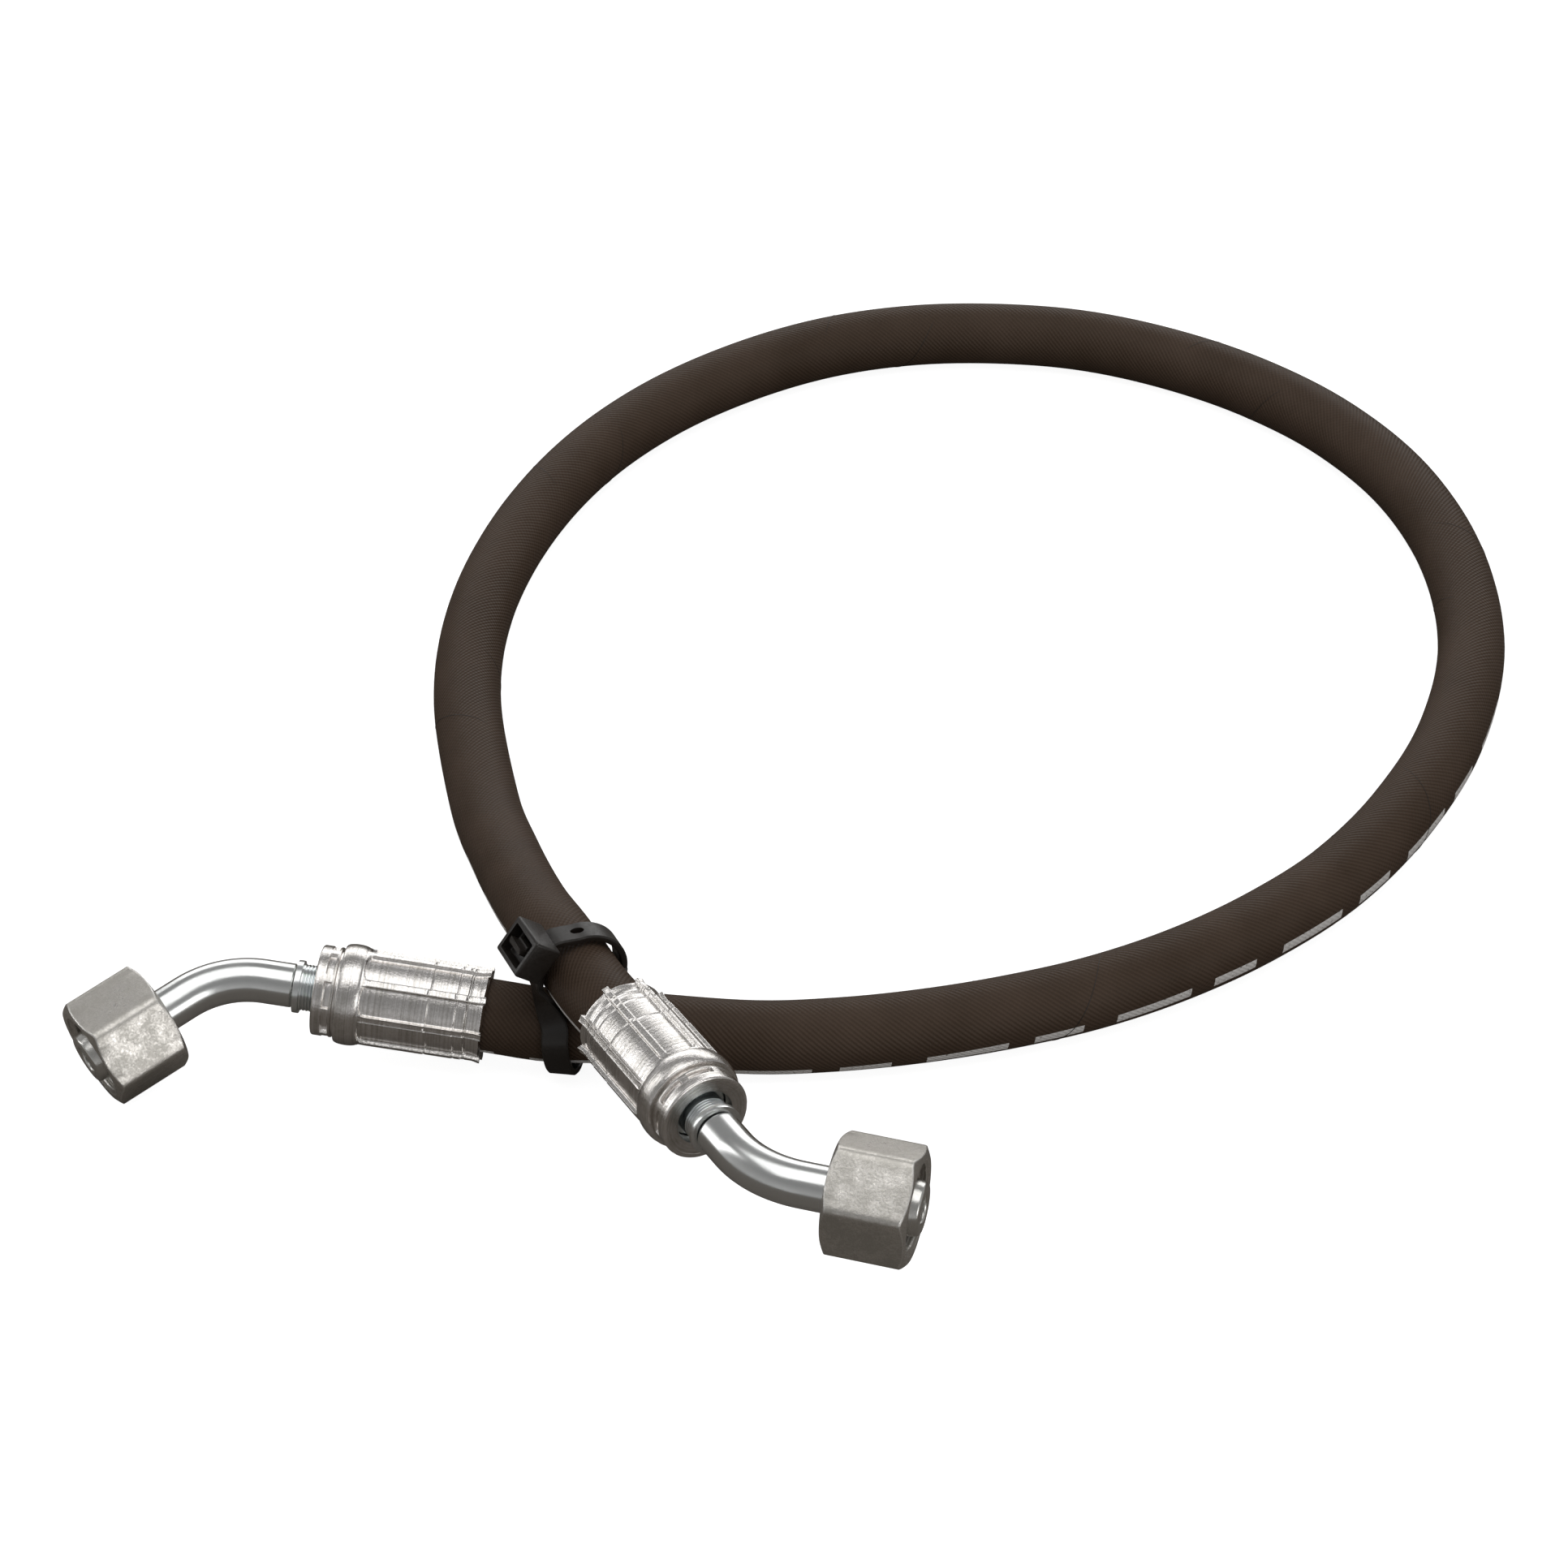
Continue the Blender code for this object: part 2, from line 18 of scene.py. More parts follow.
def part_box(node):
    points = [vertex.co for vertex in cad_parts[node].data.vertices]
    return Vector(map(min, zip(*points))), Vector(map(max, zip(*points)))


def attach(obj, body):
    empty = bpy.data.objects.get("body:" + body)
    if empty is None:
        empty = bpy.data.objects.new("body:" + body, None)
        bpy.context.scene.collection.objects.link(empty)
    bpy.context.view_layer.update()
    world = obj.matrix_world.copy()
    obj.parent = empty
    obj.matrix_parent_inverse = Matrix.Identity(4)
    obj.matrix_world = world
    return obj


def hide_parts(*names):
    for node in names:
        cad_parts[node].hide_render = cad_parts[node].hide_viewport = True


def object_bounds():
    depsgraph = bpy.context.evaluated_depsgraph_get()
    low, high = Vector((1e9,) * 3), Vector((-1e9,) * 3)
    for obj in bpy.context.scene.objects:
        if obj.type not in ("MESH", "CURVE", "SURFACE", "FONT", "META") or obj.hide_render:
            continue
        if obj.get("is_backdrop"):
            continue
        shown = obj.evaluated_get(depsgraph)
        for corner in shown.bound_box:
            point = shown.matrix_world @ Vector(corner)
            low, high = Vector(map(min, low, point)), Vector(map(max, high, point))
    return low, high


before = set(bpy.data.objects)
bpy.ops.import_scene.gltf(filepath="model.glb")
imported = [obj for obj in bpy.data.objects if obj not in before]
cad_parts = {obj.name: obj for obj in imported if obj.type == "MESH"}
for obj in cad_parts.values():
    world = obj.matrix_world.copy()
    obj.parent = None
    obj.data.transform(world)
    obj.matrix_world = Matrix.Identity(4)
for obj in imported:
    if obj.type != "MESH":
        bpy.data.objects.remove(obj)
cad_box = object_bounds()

MM = 0.001
SEED = 7
print("nodes:", sorted(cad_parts))

# %% [markdown]
# ## Camera
#
# A long lens from a distance gives both nuts nearly the same size. The camera looks down by 40
# degrees, which shows the loop as a wide oval. It could be aimed with a constraint, but a plain
# place and rotation are easier to read and to change.

# %% Camera
CAMERA_PLACE = (0.0523, -0.5000, 0.5099)
CAMERA_PITCH = math.radians(50)
LENS_MM = 92.56
SENSOR_MM = 36

camera_data = bpy.data.cameras.new("camera")
camera_data.lens = LENS_MM
camera_data.sensor_width = SENSOR_MM
camera = bpy.data.objects.new("camera", camera_data)
camera.location = CAMERA_PLACE
camera.rotation_euler = (CAMERA_PITCH, 0, 0)
bpy.context.scene.collection.objects.link(camera)
bpy.context.scene.camera = camera
print("camera looks down by", round(90 - math.degrees(CAMERA_PITCH), 1), "degrees")

# %% [markdown]
# ## Sizes
#
# The same sizes as in the CAD source, in metres. A piece here keeps the CAD piece's length,
# radius and place, and adds only what the plain solid leaves out. The route differs in three
# points, by up to 0.4 mm inwards, because a smooth curve bulges past the CAD's straight runs.

# %% Sizes
GAP = 0.3 * MM
HOSE_RADIUS = 6.7 * MM
COVER_WALL = 1.4 * MM
BRAID_WALL = 0.4 * MM
LINER_WALL = 1.1 * MM

FERRULE_LENGTH = 31.0 * MM
FERRULE_RADIUS = 8.5 * MM
BULGE_RADIUS = 9.2 * MM
BULGE_START = 22.6 * MM
BULGE_LENGTH = 4.2 * MM
COLLAR_RADIUS = 8.2 * MM
LIP_BORE_RADIUS = 5.2 * MM
LIP_LENGTH = 2.4 * MM

STEM_BORE_RADIUS = 2.0 * MM
SHOULDER_RADIUS = 6.4 * MM
SHOULDER_LENGTH = 1.4 * MM
NECK_RADIUS = 4.2 * MM
NECK_LENGTH = 2.9 * MM
END_COLLAR_RADIUS = 4.8 * MM
END_COLLAR_LENGTH = 1.1 * MM

TUBE_RADIUS = 4.0 * MM
TUBE_BORE_RADIUS = 2.5 * MM
BEND_ANGLE = math.radians(45)
BEND_RADIUS = 19.0 * MM
BEND_LEAD = 5.4 * MM
BEND_TAIL = 5.4 * MM

NUT_ACROSS_FLATS = 19.0 * MM
NUT_LENGTH = 14.5 * MM
NUT_REAR_WALL = 3.4 * MM
NUT_CHAMFER = math.radians(30)
THREAD_MINOR_RADIUS = 7.2 * MM
THREAD_MOUTH_RADIUS = 8.0 * MM
THREAD_PITCH = 1.5 * MM

HEAD_REAR = NUT_REAR_WALL + 0.5 * MM
CONE_SLOPE = math.tan(math.radians(12))
CONE_SHOULDER_RADIUS = 6.4 * MM
CONE_PROUD = 1.1 * MM
SOCKET_DEPTH = 3.6 * MM
O_RING_SECTION = 0.75 * MM
O_RING_SEAT = 4.6 * MM
O_RING_START = 8.6 * MM

TIE_WIDTH = 4.8 * MM
TIE_THICKNESS = 1.2 * MM
TIE_HEAD_WIDTH = 9.2 * MM
TIE_HEAD_LENGTH = 7.4 * MM
TIE_HEAD_HEIGHT = 5.6 * MM
TIE_SLACK = 0.5 * MM
TIE_STUB = 0.8 * MM
TIE_HEAD_TURN = 140
TIE_LEAN = 6.0 * MM
TIE_UPPER_MM = (16.4, 30.3, 22.0)
TIE_LOWER_MM = (10.8, 30.0, 8.6)

END_A = {"at": (-1.3, 31.1, 9.7), "heading": 173.9, "rise": 6.2, "roll": -22.2, "nut": 50.9}
END_B = {"at": (23.7, 14.8, 23.6), "heading": -60.3, "rise": 5.2, "roll": -5.5, "nut": 10.0}
ENDS = {"a": END_A, "b": END_B}

ROUTE_MM = [
    (21.6, 29.5, 8.3), (45.3, 28.4, 6.9), (61.4, 29.2, 6.7), (77.4, 31.5, 6.7),
    (93.6, 35.3, 6.7), (109.9, 40.7, 6.7), (126.0, 48.5, 6.7), (141.8, 58.9, 6.7),
    (157.1, 72.4, 6.7), (171.3, 90.9, 6.7), (183.6, 114.3, 6.7), (191.3, 142.2, 6.7),
    (191.35, 171.4, 6.7), (184.5, 197.9, 6.7), (172.1, 219.0, 6.7), (156.4, 234.7, 6.7),
    (138.7, 246.1, 6.7), (119.7, 253.7, 6.7), (100.1, 256.6, 6.7), (80.1, 255.8, 6.7),
    (60.4, 250.5, 6.7), (41.3, 240.1, 6.7), (23.8, 225.6, 6.7), (8.8, 206.3, 6.7),
    (-2.7, 182.2, 6.7), (-9.7, 154.9, 6.7), (-10.8, 126.4, 6.8), (-5.4, 92.3, 8.7),
    (-0.2, 72.6, 12.1), (5.9, 53.3, 16.7), (12.0, 37.9, 21.3),
]

STEM_END = FERRULE_LENGTH + NECK_LENGTH + END_COLLAR_LENGTH
HOSE_END = FERRULE_LENGTH - LIP_LENGTH - SHOULDER_LENGTH - 3 * GAP
BEND_START = STEM_END + GAP + BEND_LEAD


def swivel_place():
    """The nut's rear face in the fitting's own axes."""
    x = BEND_START + BEND_RADIUS * math.sin(BEND_ANGLE) + BEND_TAIL * math.cos(BEND_ANGLE)
    y = BEND_RADIUS * (1 - math.cos(BEND_ANGLE)) + BEND_TAIL * math.sin(BEND_ANGLE)
    return Vector((x, y, 0))


def end_matrix(end):
    """The fitting's axes in the frame: X along the ferrule, Y to the inside of the bend."""
    turn = Matrix.Rotation(math.radians(end["heading"]), 4, "Z")
    turn @= Matrix.Rotation(math.radians(-end["rise"]), 4, "Y")
    turn @= Matrix.Rotation(math.radians(end["roll"]), 4, "X")
    return Matrix.Translation(Vector(end["at"]) * MM) @ turn


def swivel_matrix(end, turn=0.0):
    """The nut's axes in the frame: X out through its mouth."""
    bend = Matrix.Translation(swivel_place()) @ Matrix.Rotation(BEND_ANGLE, 4, "Z")
    return end_matrix(end) @ bend @ Matrix.Rotation(math.radians(turn), 4, "X")


for letter, end in ENDS.items():
    low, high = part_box("ferrule_" + letter)
    middle = end_matrix(end) @ Vector((FERRULE_LENGTH / 2, 0, 0))
    print("ferrule", letter, "is", round((middle - (low + high) / 2).length / MM, 2), "mm off")

# %% [markdown]
# ## Mesh helpers
#
# Every piece of such an assembly is turned, drawn or extruded, so each mesh here is a stack of
# rings joined one to the next. A ring holds the same number of points all the way along a
# piece, which keeps the faces square and the highlights smooth. Curves with a bevel would give
# the round pieces too, but not the crimped ferrule, the thread or the hexagon. A piece is made
# in its own axes and then moved in its mesh, and `own_place` keeps where each point was.

# %% Mesh helpers
def grid_faces(rows, sides, wrapped, first=0):
    """Faces between neighbouring rings; wrapped also joins the last ring to the first."""
    faces = []
    for row in range(rows if wrapped else rows - 1):
        here = first + row * sides
        there = first + (row + 1) % rows * sides
        for i in range(sides):
            j = (i + 1) % sides
            faces.append((here + i, here + j, there + j, there + i))
    return faces


def keep_own_place(mesh):
    """Stores where each point is in the piece's own axes, which the finishes read."""
    places = np.empty(len(mesh.vertices) * 3, np.float32)
    mesh.vertices.foreach_get("co", places)
    kept = mesh.attributes.get("own_place")
    kept = kept or mesh.attributes.new("own_place", "FLOAT_VECTOR", "POINT")
    kept.data.foreach_set("vector", places)


def add_piece(name, points, faces, finish, matrix=None, sharp=30):
    """A mesh object with outward faces, smooth apart from its sharp edges."""
    mesh = bpy.data.meshes.new(name)
    mesh.from_pydata([tuple(p) for p in points], [], faces)
    bm = bmesh.new()
    bm.from_mesh(mesh)
    bmesh.ops.recalc_face_normals(bm, faces=bm.faces)
    bm.to_mesh(mesh)
    bm.free()
    keep_own_place(mesh)
    if matrix is not None:
        mesh.transform(matrix)
    mesh.shade_smooth()
    mesh.set_sharp_from_angle(angle=math.radians(sharp))
    mesh.materials.append(finish)
    made = bpy.data.objects.new(name, mesh)
    bpy.context.scene.collection.objects.link(made)
    return made


def around_x(xs, radii, turns=None):
    """Rings round the X axis from arrays of x and radius, one row for each ring."""
    if turns is None:
        turns = np.linspace(0, math.tau, radii.shape[1], endpoint=False)
    xs = np.broadcast_to(xs, radii.shape)
    return np.stack([xs, radii * np.cos(turns), radii * np.sin(turns)], axis=-1)


def add_turned(name, outline, finish, matrix, sides=64, round_off=0.12 * MM):
    """A closed outline of (x, radius) turned about X, each corner cut by a small round."""
    count = len(outline)
    rounded = []
    for i, (x, r) in enumerate(outline):
        here = np.array((x, r))
        before = np.array(outline[i - 1]) - here
        after = np.array(outline[(i + 1) % count]) - here
        reach = min(round_off, 0.3 * np.linalg.norm(before), 0.3 * np.linalg.norm(after))
        start = here + before / np.linalg.norm(before) * reach
        end = here + after / np.linalg.norm(after) * reach
        for t in (0, 1 / 3, 2 / 3, 1):
            rounded.append((1 - t) ** 2 * start + 2 * t * (1 - t) * here + t * t * end)
    rounded = np.array(rounded)
    radii = np.repeat(rounded[:, 1:2], sides, axis=1)
    rings = around_x(rounded[:, 0:1], radii)
    faces = grid_faces(len(rounded), sides, True)
    return add_piece(name, rings.reshape(-1, 3), faces, finish, matrix)


def step(low, high, x):
    """0 below low, 1 above high, and a smooth rise between them."""
    t = np.clip((x - low) / (high - low), 0, 1)
    return t * t * (3 - 2 * t)


def smooth_route(points, samples=12):
    """Catmull-Rom curve through points; its first and last stretches are straight."""
    route = [points[0]]
    for i in range(len(points) - 1):
        start, end = points[i], points[i + 1]
        first, last = i == 0, i + 2 == len(points)
        leave = end - start if first or last else (end - points[i - 1]) / 2
        arrive = end - start if first or last else (points[i + 2] - start) / 2
        for k in range(1, samples + 1):
            t = k / samples
            route.append(start * (2 * t**3 - 3 * t**2 + 1) + leave * (t**3 - 2 * t**2 + t)
                         + end * (3 * t**2 - 2 * t**3) + arrive * (t**3 - t**2))
    return route


def spaced(route, count):
    """count points at equal distances along the route, and its whole length."""
    points = np.array(route)
    travelled = np.concatenate([[0], np.cumsum(np.linalg.norm(np.diff(points, axis=0), axis=1))])
    wanted = np.linspace(0, travelled[-1], count)
    return np.stack([np.interp(wanted, travelled, points[:, i]) for i in range(3)], axis=1)


def unit(v):
    return v / np.linalg.norm(v, axis=-1, keepdims=True)


def upright_frames(points):
    """At each point of a route: its direction, its left side and its upper side."""
    ways = unit(np.gradient(points, axis=0))
    sides = unit(np.cross((0, 0, 1), ways))
    return ways, sides, np.cross(ways, sides)


def stand_in(made, body, node):
    """Puts a piece on its body, in place of one CAD node."""
    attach(made, body)
    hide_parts(node)


# %% [markdown]
# ## Shared surface effects
#
# Effects that more than one finish uses are node groups. Each gives only masks and heights;
# the colours and the shader stay in the material. Grain is a fine noise, mottle is the cloudy
# look of a zinc coat, wear marks the edges that are rubbed bright and carry a painted highlight,
# drawn lines run along or round a machined piece, and weave is the diagonal pattern that cloth
# or wire leaves. All but the weave read `own_place`, so that a pattern stays on its piece when
# a nut turns.

# %% Node helpers
class Nodes:
    """Short calls for adding and linking nodes in one tree."""

    def __init__(self, tree):
        self.tree = tree

    def add(self, kind, inputs=None, **settings):
        node = self.tree.nodes.new(kind)
        for key, value in settings.items():
            setattr(node, key, value)
        for key, value in (inputs or {}).items():
            self.put(node.inputs[key], value)
        return node

    def put(self, socket, value):
        if isinstance(value, bpy.types.NodeSocket):
            self.tree.links.new(value, socket)
        else:
            socket.default_value = value

    def math(self, operation, *values, clamp=False):
        node = self.add("ShaderNodeMath", operation=operation, use_clamp=clamp)
        for socket, value in zip(node.inputs, values):
            self.put(socket, value)
        return node.outputs[0]

    def times(self, *values, clamp=False):
        return self.math("MULTIPLY", *values, clamp=clamp)

    def noise(self, vector, scale, detail=3.0, roughness=0.55):
        inputs = {"Vector": vector, "Scale": scale, "Detail": detail, "Roughness": roughness}
        return self.add("ShaderNodeTexNoise", inputs).outputs["Fac"]

    def remap(self, value, low, high, to_low=0.0, to_high=1.0):
        inputs = {"Value": value, "From Min": low, "From Max": high,
                  "To Min": to_low, "To Max": to_high}
        return self.add("ShaderNodeMapRange", inputs).outputs["Result"]

    def mix(self, share, first, second):
        node = self.add("ShaderNodeMix", data_type="RGBA")
        self.put(node.inputs[0], share)
        self.put(node.inputs[6], first if hasattr(first, "links") else (*first, 1))
        self.put(node.inputs[7], second if hasattr(second, "links") else (*second, 1))
        return node.outputs[2]

    def scaled(self, vector, scale):
        node = self.add("ShaderNodeVectorMath", {0: vector, 1: scale}, operation="MULTIPLY")
        return node.outputs[0]

    def group(self, tree, **inputs):
        node = self.add("ShaderNodeGroup", node_tree=tree)
        for key, value in inputs.items():
            self.put(node.inputs[key], value)
        return node.outputs


def new_group(name, inputs, outputs):
    """An empty node group with float inputs {name: default} and float outputs."""
    tree = bpy.data.node_groups.new(name, "ShaderNodeTree")
    for label, default in inputs.items():
        socket = tree.interface.new_socket(label, in_out="INPUT", socket_type="NodeSocketFloat")
        socket.default_value = default
    for label in outputs:
        tree.interface.new_socket(label, in_out="OUTPUT", socket_type="NodeSocketFloat")
    nodes = Nodes(tree)
    given = nodes.add("NodeGroupInput").outputs
    returned = nodes.add("NodeGroupOutput").inputs
    return tree, nodes, given, returned


def kept_place(nodes, name="own_place"):
    return nodes.add("ShaderNodeAttribute", attribute_name=name).outputs["Vector"]


# %% Shared groups
def grain_group():
    """Fine noise in the piece's own space."""
    tree, nodes, given, returned = new_group("fine grain", {"Scale": 4000.0}, ["Height"])
    place = kept_place(nodes)
    nodes.put(returned["Height"], nodes.noise(place, given["Scale"], 2.0))
    return tree


def mottle_group():
    """Clouds and speckles of a zinc coat."""
    tree, nodes, given, returned = new_group("zinc mottle", {"Scale": 250.0},
                                             ["Clouds", "Speckle"])
    place = kept_place(nodes)
    clouds = nodes.noise(place, given["Scale"], 6.0, 0.68)
    nodes.put(returned["Clouds"], nodes.remap(clouds, 0.34, 0.66))
    fine = nodes.times(given["Scale"], 9.0)
    speckle = nodes.noise(place, fine, 4.0, 0.7)
    nodes.put(returned["Speckle"], nodes.remap(speckle, 0.40, 0.64))
    return tree


def worn_edge_highlight_group():
    """A mask of the sharp edges, broken up by noise, for their wear and a painted highlight."""
    tree, nodes, given, returned = new_group("worn edge highlight", {"Reach": 0.0004}, ["Mask"])
    tree.interface.new_socket("Normal", in_out="OUTPUT", socket_type="NodeSocketVector")
    rounded = nodes.add("ShaderNodeBevel", {"Radius": given["Reach"]}, samples=4)
    true = nodes.add("ShaderNodeNewGeometry").outputs["Normal"]
    dot = nodes.add("ShaderNodeVectorMath", {0: rounded.outputs[0], 1: true},
                    operation="DOT_PRODUCT").outputs["Value"]
    place = kept_place(nodes)
    broken = nodes.remap(nodes.noise(place, 900.0, 4.0, 0.65), 0.3, 0.7, 0.35, 1.15)
    nodes.put(returned["Normal"], rounded.outputs[0])
    edge = nodes.remap(dot, 0.997, 0.95)
    nodes.put(returned["Mask"], nodes.times(edge, broken, clamp=True))
    return tree


def drawn_group():
    """Fine lines along the piece's X axis, and fine rings round it."""
    tree, nodes, given, returned = new_group("drawn lines", {"Scale": 2500.0},
                                             ["Along", "Round"])
    place = kept_place(nodes)
    parts = nodes.add("ShaderNodeSeparateXYZ", {0: place}).outputs
    along = nodes.scaled(place, (0.03, 1, 1))
    nodes.put(returned["Along"], nodes.noise(along, given["Scale"], 3.0, 0.6))
    squares = nodes.math("ADD", nodes.math("POWER", parts["Y"], 2.0),
                         nodes.math("POWER", parts["Z"], 2.0))
    rings = nodes.add("ShaderNodeCombineXYZ",
                      {"X": parts["X"], "Y": nodes.math("SQRT", squares)}).outputs[0]
    nodes.put(returned["Round"], nodes.noise(rings, given["Scale"], 3.0, 0.6))
    return tree


def weave_group():
    """Two sets of threads crossing on a round hose, from the straightened-hose place."""
    tree, nodes, given, returned = new_group(
        "diagonal weave", {"Around": 40.0, "Per metre": 950.0}, ["Height", "Over"])
    place = kept_place(nodes, "hose_place")
    parts = nodes.add("ShaderNodeSeparateXYZ", {0: place}).outputs
    turn = nodes.math("DIVIDE", nodes.math("ARCTAN2", parts["Z"], parts["Y"]), math.tau)
    round_count = nodes.times(turn, given["Around"])
    along_count = nodes.times(parts["X"], given["Per metre"])
    waves = []
    for sign in ("SUBTRACT", "ADD"):
        phase = nodes.math(sign, along_count, round_count)
        waves.append(nodes.math("SINE", nodes.times(phase, math.tau)))
    under = nodes.times(waves[1], 0.35)
    nodes.put(returned["Height"], nodes.math("ADD", waves[0], under))
    nodes.put(returned["Over"], nodes.remap(waves[0], -0.4, 0.6))
    return tree


GRAIN, MOTTLE, WORN_EDGE_HIGHLIGHT = grain_group(), mottle_group(), worn_edge_highlight_group()
DRAWN, WEAVE = drawn_group(), weave_group()
print("shared groups:", [tree.name for tree in bpy.data.node_groups])

# %% [markdown]
# ## Finishes
#
# The steel is zinc plated: bright on the turned and drawn pieces, dull and cloudy on the nuts,
# which are hot forged and barrel plated, with a trace of blue passivation on the necks. The
# hose cover is dark rubber that was cured under a cloth wrap. The tie is black nylon.

# %% Finishes
def new_finish(name):
    made = bpy.data.materials.new(name)
    made.use_nodes = True
    made.node_tree.nodes.clear()
    nodes = Nodes(made.node_tree)
    shader = nodes.add("ShaderNodeBsdfPrincipled")
    out = nodes.add("ShaderNodeOutputMaterial", {"Surface": shader.outputs[0]})
    out.is_active_output = True
    return made, nodes, shader.inputs


def add_bump(nodes, shader, height, distance, normal=None):
    bump = nodes.add("ShaderNodeBump", {"Height": height, "Distance": distance})
    if normal is not None:
        nodes.put(bump.inputs["Normal"], normal)
    nodes.put(shader["Normal"], bump.outputs[0])


def zinc(name, light, dark, rough, cloud_share, round_share, line_depth, reach,
         streaks=0.0):
    """Zinc-plated steel: two tones by the mottle, worn edges with a painted highlight, fine
    machining lines.
    """
    made, nodes, shader = new_finish(name)
    mottle = nodes.group(MOTTLE, Scale=260.0)
    edges = nodes.group(WORN_EDGE_HIGHLIGHT, Reach=reach)
    worn_edge_highlight = edges["Mask"]
    drawn = nodes.group(DRAWN)
    lines = nodes.math("ADD", nodes.times(drawn["Round"], round_share),
                       nodes.times(drawn["Along"], 1 - round_share))
    tone = nodes.times(mottle["Clouds"], cloud_share)
    if streaks:
        streaked = nodes.remap(drawn["Round"], 0.38, 0.62, -streaks, streaks)
        tone = nodes.math("ADD", tone, streaked)
    speckled = nodes.times(mottle["Speckle"], cloud_share * 0.5)
    share = nodes.math("ADD", tone, speckled, clamp=True)
    plain = nodes.mix(share, light, dark)
    # The sharp edges turn near white: partly real wear, partly a painted highlight.
    nodes.put(shader["Base Color"], nodes.mix(worn_edge_highlight, plain, (0.97, 0.96, 0.94)))
    base = nodes.remap(share, 0.0, 1.0, rough[0], rough[1])
    nodes.put(shader["Roughness"], nodes.math("SUBTRACT", base,
                                              nodes.times(worn_edge_highlight, 0.10), clamp=True))
    shader["Metallic"].default_value = 1.0
    height = nodes.math("ADD", lines, nodes.times(mottle["Speckle"], cloud_share))
    add_bump(nodes, shader, height, line_depth, edges["Normal"])
    return made


def neck_zinc(name):
    """The stem's neck: bright zinc with blue and green passivation towards the ferrule."""
    made, nodes, shader = new_finish(name)
    place = kept_place(nodes)
    x = nodes.add("ShaderNodeSeparateXYZ", {0: place}).outputs["X"]
    wobble = nodes.times(nodes.noise(place, 500.0), 1.2 * MM)
    film = nodes.remap(nodes.math("ADD", x, wobble), 31.0 * MM, 36.2 * MM)
    tint = nodes.mix(film, (0.70, 0.76, 0.78), (0.78, 0.78, 0.77))
    green = nodes.remap(nodes.noise(place, 800.0), 0.50, 0.68, 0.0, 0.5)
    nodes.put(shader["Base Color"], nodes.mix(green, tint, (0.66, 0.73, 0.67)))
    shader["Metallic"].default_value = 1.0
    shader["Roughness"].default_value = 0.24
    add_bump(nodes, shader, nodes.group(DRAWN)["Round"], 0.006 * MM)
    return made


def tube_zinc(name):
    """Drawn precision tube: the brightest piece, with soft long highlights."""
    made, nodes, shader = new_finish(name)
    mottle = nodes.group(MOTTLE, Scale=180.0)
    share = nodes.times(mottle["Clouds"], 0.5)
    nodes.put(shader["Base Color"], nodes.mix(share, (0.78, 0.79, 0.78), (0.66, 0.67, 0.66)))
    nodes.put(shader["Roughness"], nodes.remap(share, 0.0, 0.5, 0.17, 0.26))
    shader["Metallic"].default_value = 1.0
    add_bump(nodes, shader, nodes.group(GRAIN, Scale=2600.0)["Height"], 0.004 * MM)
    return made


LINE_PERIOD = 35 * MM
LINE_HALF_HEIGHT = 1.15 * MM


def cover_rubber(name):
    """Wrapped rubber cover with a broken white layline and the faint print of the cloth."""
    made, nodes, shader = new_finish(name)
    place = kept_place(nodes, "hose_place")
    parts = nodes.add("ShaderNodeSeparateXYZ", {0: place}).outputs
    weave = nodes.group(WEAVE)
    dirt = nodes.remap(nodes.noise(place, 60.0, 5.0, 0.6), 0.35, 0.7)
    thread = nodes.times(weave["Over"], 0.35)
    tone = nodes.math("ADD", thread, nodes.times(dirt, 0.5), clamp=True)
    rubber = nodes.mix(tone, (0.049, 0.032, 0.021), (0.086, 0.059, 0.043))
    height = nodes.math("ABSOLUTE", nodes.times(HOSE_RADIUS,
                        nodes.math("ARCTAN2", parts["Z"], parts["Y"])))
    inside = nodes.math("LESS_THAN", height, LINE_HALF_HEIGHT)
    beat = nodes.math("FRACT", nodes.math("DIVIDE", parts["X"], LINE_PERIOD))
    long_dash = nodes.math("LESS_THAN", beat, 0.42)
    late = nodes.times(nodes.math("GREATER_THAN", beat, 0.56),
                      nodes.math("LESS_THAN", beat, 0.82))
    dash = nodes.times(inside, nodes.math("MAXIMUM", long_dash, late))
    rubbed = nodes.remap(nodes.noise(place, 1500.0, 3.0), 0.30, 0.42, 0.15, 0.95)
    print_mask = nodes.times(dash, rubbed)
    nodes.put(shader["Base Color"], nodes.mix(print_mask, rubber, (0.78, 0.76, 0.74)))
    nodes.put(shader["Roughness"], nodes.remap(tone, 0.0, 1.0, 0.42, 0.60))
    shader["Specular IOR Level"].default_value = 0.10
    grain = nodes.times(nodes.noise(place, 2500.0, 2.0), 0.7)
    add_bump(nodes, shader, nodes.math("ADD", weave["Height"], grain), 0.035 * MM)
    return made


def braid_wire(name):
    """Brass-coated reinforcement wire, in two crossing layers."""
    made, nodes, shader = new_finish(name)
    weave = nodes.group(WEAVE, **{"Around": 36.0, "Per metre": 620.0})
    nodes.put(shader["Base Color"],
              nodes.mix(weave["Over"], (0.40, 0.32, 0.18), (0.68, 0.56, 0.34)))
    shader["Metallic"].default_value = 1.0
    shader["Roughness"].default_value = 0.35
    add_bump(nodes, shader, weave["Height"], 0.06 * MM)
    return made


def plain_black(name, colour, rough, grain_scale, depth):
    """Black rubber or nylon with a fine moulded grain."""
    made, nodes, shader = new_finish(name)
    grain = nodes.group(GRAIN, Scale=grain_scale)["Height"]
    nodes.put(shader["Base Color"], nodes.mix(grain, colour, tuple(2.2 * c for c in colour)))
    nodes.put(shader["Roughness"], nodes.remap(grain, 0.3, 0.7, rough - 0.08, rough + 0.08))
    add_bump(nodes, shader, grain, depth)
    return made


